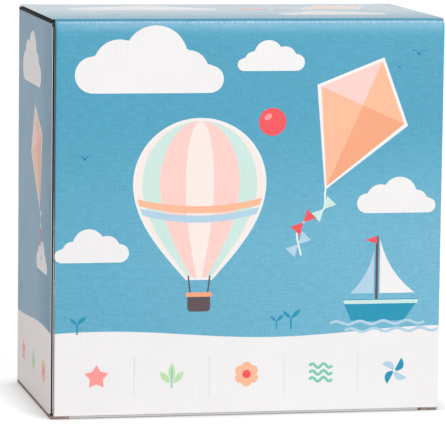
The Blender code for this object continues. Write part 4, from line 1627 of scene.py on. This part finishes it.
        lid.bird(-78, -34, 11)
        lid.bird(-60, -42, 8)
        return [front, left, right, back, lid]

    @staticmethod
    def icon_row(sheet: PrintSheet, places: Sequence[float]) -> None:
        """Draw a row of icons with thin lines between them.

        Args:
            sheet: The face to draw on.
            places: How far to the right each icon stands.
        """
        icons = ((sheet.star, 7.6), (sheet.leaves, 15.0), (sheet.flower, 7.6), (sheet.waves, 14.0),
                 (sheet.pinwheel, 9.0))
        up, reach = 25, 12      # height of the icons' middles, and how far the lines go up and down
        for index, (place, (icon, size)) in enumerate(zip(places, icons)):
            icon(place, up, size)
            if index:
                sheet.divider((places[index - 1] + place) / 2, up - reach, up + reach)

    def build(self) -> None:
        """Make the folds, the boards and the print."""
        self.lay_out_folds()
        for board in self.panels():
            board.build()
        for crease in self.creases.values():
            crease.build(Looks.painted_hollow, "printed_board", self.dent)
        for sheet in self.sheets():
            sheet.build()


class Walk:
    """A bent line drawn by walking: straight runs and turns, kept as closely set stations."""

    def __init__(self, start: tuple[float, float], heading: float, step: float = 1.0 * MM) -> None:
        """Start at a point, looking along a heading."""
        self.points = [Vector(start)]
        self.headings = [heading]
        self.step = step

    def run(self, length: float) -> None:
        """Walk straight on."""
        heading = self.headings[-1]
        origin = self.points[-1].copy()
        way = Vector((math.cos(heading), math.sin(heading)))
        count = math.ceil(length / self.step)
        for index in range(1, count + 1):
            self.points.append(origin + way * length * index / count)
            self.headings.append(heading)

    def turn(self, angle: float, radius: float) -> None:
        """Walk round a bend; a positive angle turns left."""
        side = math.copysign(1.0, angle)
        heading = self.headings[-1]
        centre = self.points[-1] + Vector((-math.sin(heading), math.cos(heading))) * radius * side
        count = max(6, math.ceil(abs(angle) * radius / self.step))
        for index in range(1, count + 1):
            now = heading + angle * index / count
            self.points.append(centre - Vector((-math.sin(now), math.cos(now))) * radius * side)
            self.headings.append(now)

    def distances(self) -> list[float]:
        """Return how far along the line each station lies."""
        walked = [0.0]
        for first, second in zip(self.points, self.points[1:]):
            walked.append(walked[-1] + (second - first).length)
        return walked


@dataclass
class Paddle:
    """A plywood paddle with a cork face and a hand strap that fastens on itself."""

    name: str
    side: int                   # 1 for the paddle at the front, -1 for the one turned round behind it
    plies: int = 5
    inner_slot: float = 56.0 * MM
    outer_slot: float = 71.0 * MM
    plywood: float = 6.0 * MM
    recess: float = 2.4 * MM
    strap_width: float = 36.0 * MM
    strap: float = 1.5 * MM
    bend: float = 2.0 * MM
    rise: float = 34.0 * MM
    half_span: float = 46.0 * MM
    foot: float = 8.0 * MM
    hem: float = 18.0 * MM
    tab_end: float = math.radians(24)
    patch: float = 1.0 * MM
    patch_width: float = 32.0 * MM
    patch_end_gap: float = math.radians(4)
    band_end: float = 0.4 * MM
    keeper_bar: float = 1.5 * MM
    gap: float = 0.3 * MM
    fold_half: float = 1.1 * MM  # the strap bends freely this far below and above its fold line
    thin_edge: float = 0.3       # how much thinner the strap's edges are than its middle, as a share
    thin_patch: float = 0.2      # and those of a patch
    nap: float = 0.09 * MM       # height of the nap of a patch
    row_inset: float = 1.6 * MM  # a row of stitches runs this far inside the edge of a patch
    stitch: tuple[float, float, float] = (1.15 * MM, 0.26 * MM, 0.32 * MM)  # its half sizes
    tab_pitch: float = 3.2 * MM  # from one stitch to the next
    hem_pitch: float = 2.6 * MM
    cork_round: float = 0.45 * MM

    def __post_init__(self) -> None:
        """Work out the strap's levels and find the paddle in the frame."""
        board_low, board_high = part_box(f"{self.name}_paddle_board")
        band_low, band_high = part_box(f"{self.name}_strap_band")
        self.hand = board_high.y if self.side > 0 else board_low.y
        self.strap_z = (band_low.z + band_high.z) / 2
        self.under = self.recess / 2 - self.plywood
        self.hem_level = self.gap + self.keeper_bar + self.gap + self.strap / 2
        self.band_level = self.hem_level + self.strap + self.gap
        self.arch_angle = 2 * math.atan(self.rise / self.half_span)
        self.arch_radius = self.half_span / math.sin(self.arch_angle) - self.foot
        self.tab_lift = self.strap + 2 * self.patch + 3 * self.gap
        self.fold_level = self.band_end + self.gap + self.strap / 2

    @property
    def body(self) -> str:
        """The body of the board and band."""
        return f"{self.name}_paddle"

    @property
    def tab_body(self) -> str:
        """The body of the tab."""
        return f"{self.name}_tab"

    def spot(self, along: float, height: float, up: float) -> Vector:
        """Return a place on the paddle: along the strap's span, out from the hand side, and up."""
        return Vector((along * self.side, self.hand + height * self.side, up))

    def band_walk(self) -> Walk:
        """Return the band's line, from its sewn end to the last slot."""
        quarter, bend, arch = math.pi / 2, self.bend, self.arch_angle
        drop = self.band_level - self.under - 2 * bend
        bridge = self.outer_slot - self.inner_slot - 2 * bend
        walk = Walk((self.inner_slot - self.hem, self.hem_level), 0.0)
        for length, angle, radius in (
            (self.hem - bend, -quarter, bend),
            (self.hem_level - self.under - 2 * bend, quarter, bend),
            (bridge, quarter, bend),
            (drop, quarter, bend),
            (self.outer_slot - bend - self.half_span, -arch, self.foot),
            (0.0, 2 * arch, self.arch_radius),
            (0.0, -arch, self.foot),
            (self.inner_slot - bend - self.half_span, quarter, bend),
            (drop, -quarter, bend),
            (bridge, -quarter, bend),
        ):
            walk.run(length)
            walk.turn(angle, radius)
        walk.run(self.fold_level - self.fold_half - self.under - bend)
        return walk

    def fold_walk(self) -> Walk:
        """Return the short length that bends when the tab is peeled."""
        walk = Walk((-self.outer_slot, self.fold_level - self.fold_half), math.pi / 2, 0.2 * MM)
        walk.run(2 * self.fold_half)
        return walk

    def tab_walk(self) -> Walk:
        """Return the tab's line, from above the fold to its loose end."""
        walk = Walk((-self.outer_slot, self.fold_level + self.fold_half), math.pi / 2)
        walk.run(self.band_level + self.tab_lift - self.fold_level - self.fold_half - self.bend)
        walk.turn(-math.pi / 2, self.bend)
        walk.run(self.outer_slot - self.bend - self.half_span)
        walk.turn(self.arch_angle, self.foot - self.tab_lift)
        walk.turn(self.tab_end - self.arch_angle, self.arch_radius + self.tab_lift)
        return walk

    def patch_walk(self, lift: float) -> Walk:
        """Return the line of a patch at a lift above the middle of the band."""
        centre = self.band_level + self.rise - self.arch_radius
        radius = self.arch_radius + lift
        start = self.arch_angle - self.patch_end_gap
        walk = Walk((-radius * math.sin(start), centre + radius * math.cos(start)), start)
        walk.turn(self.tab_end + self.patch_end_gap - start, radius)
        return walk

    def ribbon(self, walk: Walk, width: float, thickness: float, rim: float, begin: float = 0.0,
               nap: float = 0.0) -> Shape:
        """Make a flat strip along a line, with round edges.

        Args:
            walk: The middle of the strip.
            width: Its width.
            thickness: Its thickness.
            rim: How much thinner its edges are than its middle, as a share.
            begin: Distance along the strap at which it starts.
            nap: How far its outer side is roughened.

        Returns:
            The closed strip, with its distances along and across kept on its points.
        """
        flat, end = 12, 4
        face = 0.94     # share of the half width that is flat
        ring: list[tuple[float, float]] = []
        for sign in (1.0, -1.0):
            for index in range(flat):
                ring.append((sign * face * (1 - 2 * index / flat), sign))
            for index in range(end):
                turn = math.pi * (index + 0.5) / end
                ring.append((-sign * (face + (1 - face) * math.sin(turn)), sign * math.cos(turn)))
        bm = bmesh.new()
        along_layer = bm.verts.layers.float.new("along")
        across_layer = bm.verts.layers.float.new("across")
        columns = len(walk.points) - 1
        bmesh.ops.create_grid(bm, x_segments=columns, y_segments=len(ring), size=0.5)
        distances = [begin + walked for walked in walk.distances()]
        for vert in bm.verts:
            station = round((vert.co.x + 0.5) * columns)
            across, lift = ring[round((vert.co.y + 0.5) * len(ring)) % len(ring)]
            slim = 1 - rim * abs(across) ** 6
            heading = walk.headings[station]
            out = Vector((-math.sin(heading), math.cos(heading)))
            rough = nap * noise.noise(Vector((distances[station] * 1600, across * width * 1600, lift)))
            point = walk.points[station] + out * (thickness / 2 * slim * lift + rough)
            vert[along_layer] = distances[station]
            vert[across_layer] = across * width / 2
            vert.co = self.spot(point.x, point.y, self.strap_z + across * width / 2)
        bmesh.ops.remove_doubles(bm, verts=bm.verts[:], dist=CUT_SLACK)
        bmesh.ops.holes_fill(bm, edges=[edge for edge in bm.edges if edge.is_boundary], sides=0)
        bmesh.ops.recalc_face_normals(bm, faces=bm.faces[:])
        return bm

    def stitches(self, name: str, body: str, walk: Walk, rows: Sequence[float], lift: float,
                 pitch: float) -> None:
        """Sew rows of stitches along a line.

        Args:
            name: Name of the piece.
            body: The body that it rides on.
            walk: The middle of the strip that is sewn.
            rows: How far above and below the strip's middle line each row runs.
            lift: Level of the thread over the middle of the strip.
            pitch: Length of one stitch and its gap.
        """
        bm = bmesh.new()
        wait = pitch
        for index, walked in enumerate(walk.distances()):
            if walked < wait:
                continue
            wait += pitch
            heading = walk.headings[index]
            way = self.spot(math.cos(heading), math.sin(heading), 0.0) - self.spot(0.0, 0.0, 0.0)
            out = self.spot(-math.sin(heading), math.cos(heading), 0.0) - self.spot(0.0, 0.0, 0.0)
            point = walk.points[index] + Vector((-math.sin(heading), math.cos(heading))) * lift
            turn = Matrix((way, out, way.cross(out))).transposed().to_4x4()
            for row in rows:
                place = Matrix.Translation(self.spot(point.x, point.y, self.strap_z + row)) @ turn
                size = Matrix.Diagonal((*self.stitch, 1.0))
                bmesh.ops.create_uvsphere(bm, u_segments=6, v_segments=5, radius=1.0, matrix=place @ size)
        bmesh.ops.recalc_face_normals(bm, faces=bm.faces[:])
        make_piece(bm, name, (Looks.thread,), body, smooth=70)

    def build_board(self) -> None:
        """Slice the plywood into its plies and round the cork's edges."""
        node = f"{self.name}_paddle_board"
        out = Y * self.side
        sheets = []
        for index in range(self.plies):
            sheet = cad_copy(node)
            top = self.hand - self.side * self.plywood * index / self.plies
            low = self.hand - self.side * self.plywood * (index + 1) / self.plies
            if index:
                cut_away(sheet, Y * top, out)
            if index < self.plies - 1:
                cut_away(sheet, Y * low, -out)
            sheet.normal_update()
            for face in sheet.faces:
                painted = index == 0 and face.normal.dot(out) > 0.9
                face.material_index = 2 if index % 2 else int(not painted)
            sheets.append(sheet)
        make_piece(join(sheets), node + "_plies", (Looks.painted, Looks.veneer, Looks.cross_ply),
                   self.body, smooth=25, replaces=(node,))
        node = f"{self.name}_paddle_cork"
        cork = cad_copy(node)
        sharp = [edge for edge in cork.edges if edge.calc_face_angle(0.0) > math.radians(60)]
        bmesh.ops.bevel(cork, geom=sharp, offset=self.cork_round, offset_type="OFFSET", affect="EDGES",
                        segments=3, profile=0.5, material=-1)
        make_piece(cork, node + "_sheet", (Looks.cork,), self.body, smooth=35, replaces=(node,))

    def build_strap(self) -> None:
        """Weave the band and tab, sew the patches on, and finish the keeper."""
        name = self.name
        tab = self.tab_walk()
        fold = self.fold_walk()
        length = 0.0
        for kind, walk, body in (("band", self.band_walk(), self.body), ("fold", fold, None),
                                 ("tab", tab, self.tab_body)):
            strip = self.ribbon(walk, self.strap_width, self.strap, self.thin_edge, length)
            replaced = () if body is None else (f"{name}_strap_{kind}",)
            piece = make_piece(strip, f"{name}_strap_{kind}_weave", (Looks.webbing,), body,
                               smooth=50, replaces=replaced)
            if body is None:
                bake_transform(piece)
            length += walk.distances()[-1]
        loop_lift = self.strap / 2 + self.gap + self.patch / 2
        hook_lift = loop_lift + self.patch + self.gap
        row = 0.5 * self.patch_width - self.row_inset
        for kind, lift, body, finish in (("loop", loop_lift, self.body, Looks.loops),
                                         ("hook", hook_lift, self.tab_body, Looks.hooks)):
            walk = self.patch_walk(lift)
            strip = self.ribbon(walk, self.patch_width, self.patch, self.thin_patch, nap=self.nap)
            make_piece(strip, f"{name}_{kind}_patch_nap", (finish,), body, smooth=60,
                       replaces=(f"{name}_{kind}_patch",))
        self.stitches(f"{name}_tab_stitching", self.tab_body, tab, (-row, row), self.strap * 0.42,
                      self.tab_pitch)
        hem_face = Walk((self.inner_slot - self.hem + 1.0 * MM, self.hem_level), 0.0)
        hem_face.run(self.hem - self.bend - 9.0 * MM)
        hem_rows = tuple(row * MM for row in (-14, -7, 0, 7, 14))
        self.stitches(f"{name}_hem_stitching", self.body, hem_face, hem_rows, -self.strap * 0.5,
                      self.hem_pitch)
        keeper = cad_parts[f"{name}_strap_keeper"].data
        keeper.materials.clear()
        keeper.materials.append(Looks.keeper.material())

    def build(self) -> None:
        """Make the whole paddle."""
        self.build_board()
        self.build_strap()


@dataclass
class Ball:
    """The red rubber ball, with the fine ridge where its mould closes."""

    segments: int = 72
    rings: int = 48
    ridge: float = 0.12 * MM
    ridge_width: float = 0.5 * MM
    tilt: float = math.radians(62)  # of the ridge, from level

    def build(self) -> None:
        """Make the ball inside the frame's ball."""
        low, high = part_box("ball")
        centre = (low + high) / 2
        radius = (high.z - low.z) / 2 - self.ridge
        bm = bmesh.new()
        place = Matrix.Translation(centre) @ Matrix.Rotation(self.tilt, 4, "X")
        bmesh.ops.create_uvsphere(bm, u_segments=self.segments, v_segments=self.rings, radius=radius)
        ring = [edge for edge in bm.edges if all(abs(vert.co.z) < WELD for vert in edge.verts)]
        rim = bmesh.ops.bevel(bm, geom=ring, offset=self.ridge_width, offset_type="OFFSET",
                              affect="EDGES", segments=4, profile=0.5, material=-1)
        for face in rim["faces"]:
            face.material_index = 1
        for vert in {vert for face in rim["faces"] for vert in face.verts}:
            share = max(0.0, 1 - abs(vert.co.z) / self.ridge_width)
            vert.co = vert.co.normalized() * (radius + self.ridge * share)
        bmesh.ops.transform(bm, matrix=place, verts=bm.verts[:])
        bmesh.ops.recalc_face_normals(bm, faces=bm.faces[:])
        make_piece(bm, "ball_shell", (Looks.ball, Looks.ball_seam), "ball",
                   smooth=60, replaces=("ball",))


@dataclass(frozen=True)
class Lamp:
    """A soft square lamp."""

    name: str
    place: tuple[float, float, float]
    size: float                 # length of its side
    power: float                # in watts
    tint: tuple[float, float, float] = (1.0, 1.0, 1.0)

    def hang(self, aim: Sequence[float]) -> None:
        """Hang the lamp in its place and turn it towards a point."""
        light = bpy.data.lights.new(self.name, "AREA")
        light.shape = "SQUARE"
        light.size = self.size
        light.energy = self.power
        light.color = self.tint
        lamp = stand(self.name, light)
        lamp.location = self.place
        lamp.rotation_euler = (Vector(aim) - Vector(self.place)).to_track_quat("-Z", "Y").to_euler()


@dataclass
class Studio:
    """The plain pale floor, the soft light and the camera of the photograph."""

    position: tuple[float, float, float] = (-0.45096, -2.15820, 0.38686)
    right: tuple[float, float, float] = (0.979272, -0.202195, 0.011965)
    up: tuple[float, float, float] = (0.013085, 0.122101, 0.992431)
    lens: float = 290.08        # focal length and sensor, in millimetres
    sensor: float = 36.0
    aim: tuple[float, float, float] = (0.0, 0.0, 0.12)  # the point that every lamp looks at
    lamps: tuple[Lamp, ...] = (
        Lamp("key_lamp", (1.75, -3.90, 1.40), 2.0, 134.0),
        Lamp("fill_lamp", (-2.60, -0.90, 1.00), 1.6, 15.0, (1.0, 0.93, 0.89)),
    )
    floor_size: float = 9.0
    sky_strength: float = 0.40
    floor_glow: float = 0.75    # how brightly the floor itself looks white
    contact: float = 0.024      # the floor darkens within this distance of the carton

    def build_camera(self) -> None:
        """Stand the camera where the photograph was taken."""
        lens = bpy.data.cameras.new("photo_camera")
        lens.lens = self.lens
        lens.sensor_width = self.sensor
        lens.dof.use_dof = False
        camera = stand("photo_camera", lens)
        right, up = Vector(self.right), Vector(self.up)
        turn = Matrix((right, up, right.cross(up))).transposed().to_4x4()
        camera.matrix_world = Matrix.Translation(self.position) @ turn
        bpy.context.scene.camera = camera

    def build_floor(self) -> None:
        """Lay the pale floor, which looks white where no shadow falls."""
        bm = bmesh.new()
        bmesh.ops.create_grid(bm, x_segments=1, y_segments=1, size=self.floor_size)
        mesh = bpy.data.meshes.new("studio_floor")
        bm.to_mesh(mesh)
        bm.free()
        paper = bpy.data.materials.new("floor_paper")
        wire = Wiring(paper)
        wire.set(Base_Color="C8C8C8", Roughness=0.95, Specular_IOR_Level=0.0)
        open_sky = wire.put("AmbientOcclusion", {"Distance": self.contact}).outputs["AO"]
        wire.set(Emission_Color=(1.0, 1.0, 1.0, 1.0))
        glow = wire.times(open_sky, self.floor_glow)
        wire.set(Emission_Strength=wire.times(wire.seen(), glow))
        mesh.materials.append(paper)
        floor = stand("studio_floor", mesh)

    def build_sky(self) -> None:
        """Surround the scene with even white light; the camera sees plain white."""
        world = bpy.data.worlds.new("studio_sky")
        wire = Wiring(world, "Background")
        strength = {"Value": wire.seen(), "To Min": self.sky_strength, "To Max": 1.0}
        wire.set(Color=(1.0, 1.0, 1.0, 1.0), Strength=wire.put("MapRange", strength).outputs[0])
        bpy.context.scene.world = world

    def build(self) -> None:
        """Set up floor, sky, lamps and camera."""
        self.build_camera()
        self.build_floor()
        self.build_sky()
        for lamp in self.lamps:
            lamp.hang(self.aim)
        bpy.context.scene.view_settings.view_transform = "Standard"


def main() -> None:
    """Build the studio and every piece of the part, in order."""
    logging.basicConfig(level=logging.INFO, format="%(name)s: %(message)s")
    Studio().build()
    Carton().build()
    Paddle("front", 1).build()
    Paddle("rear", -1).build()
    Ball().build()


if __name__ == "__main__":
    main()
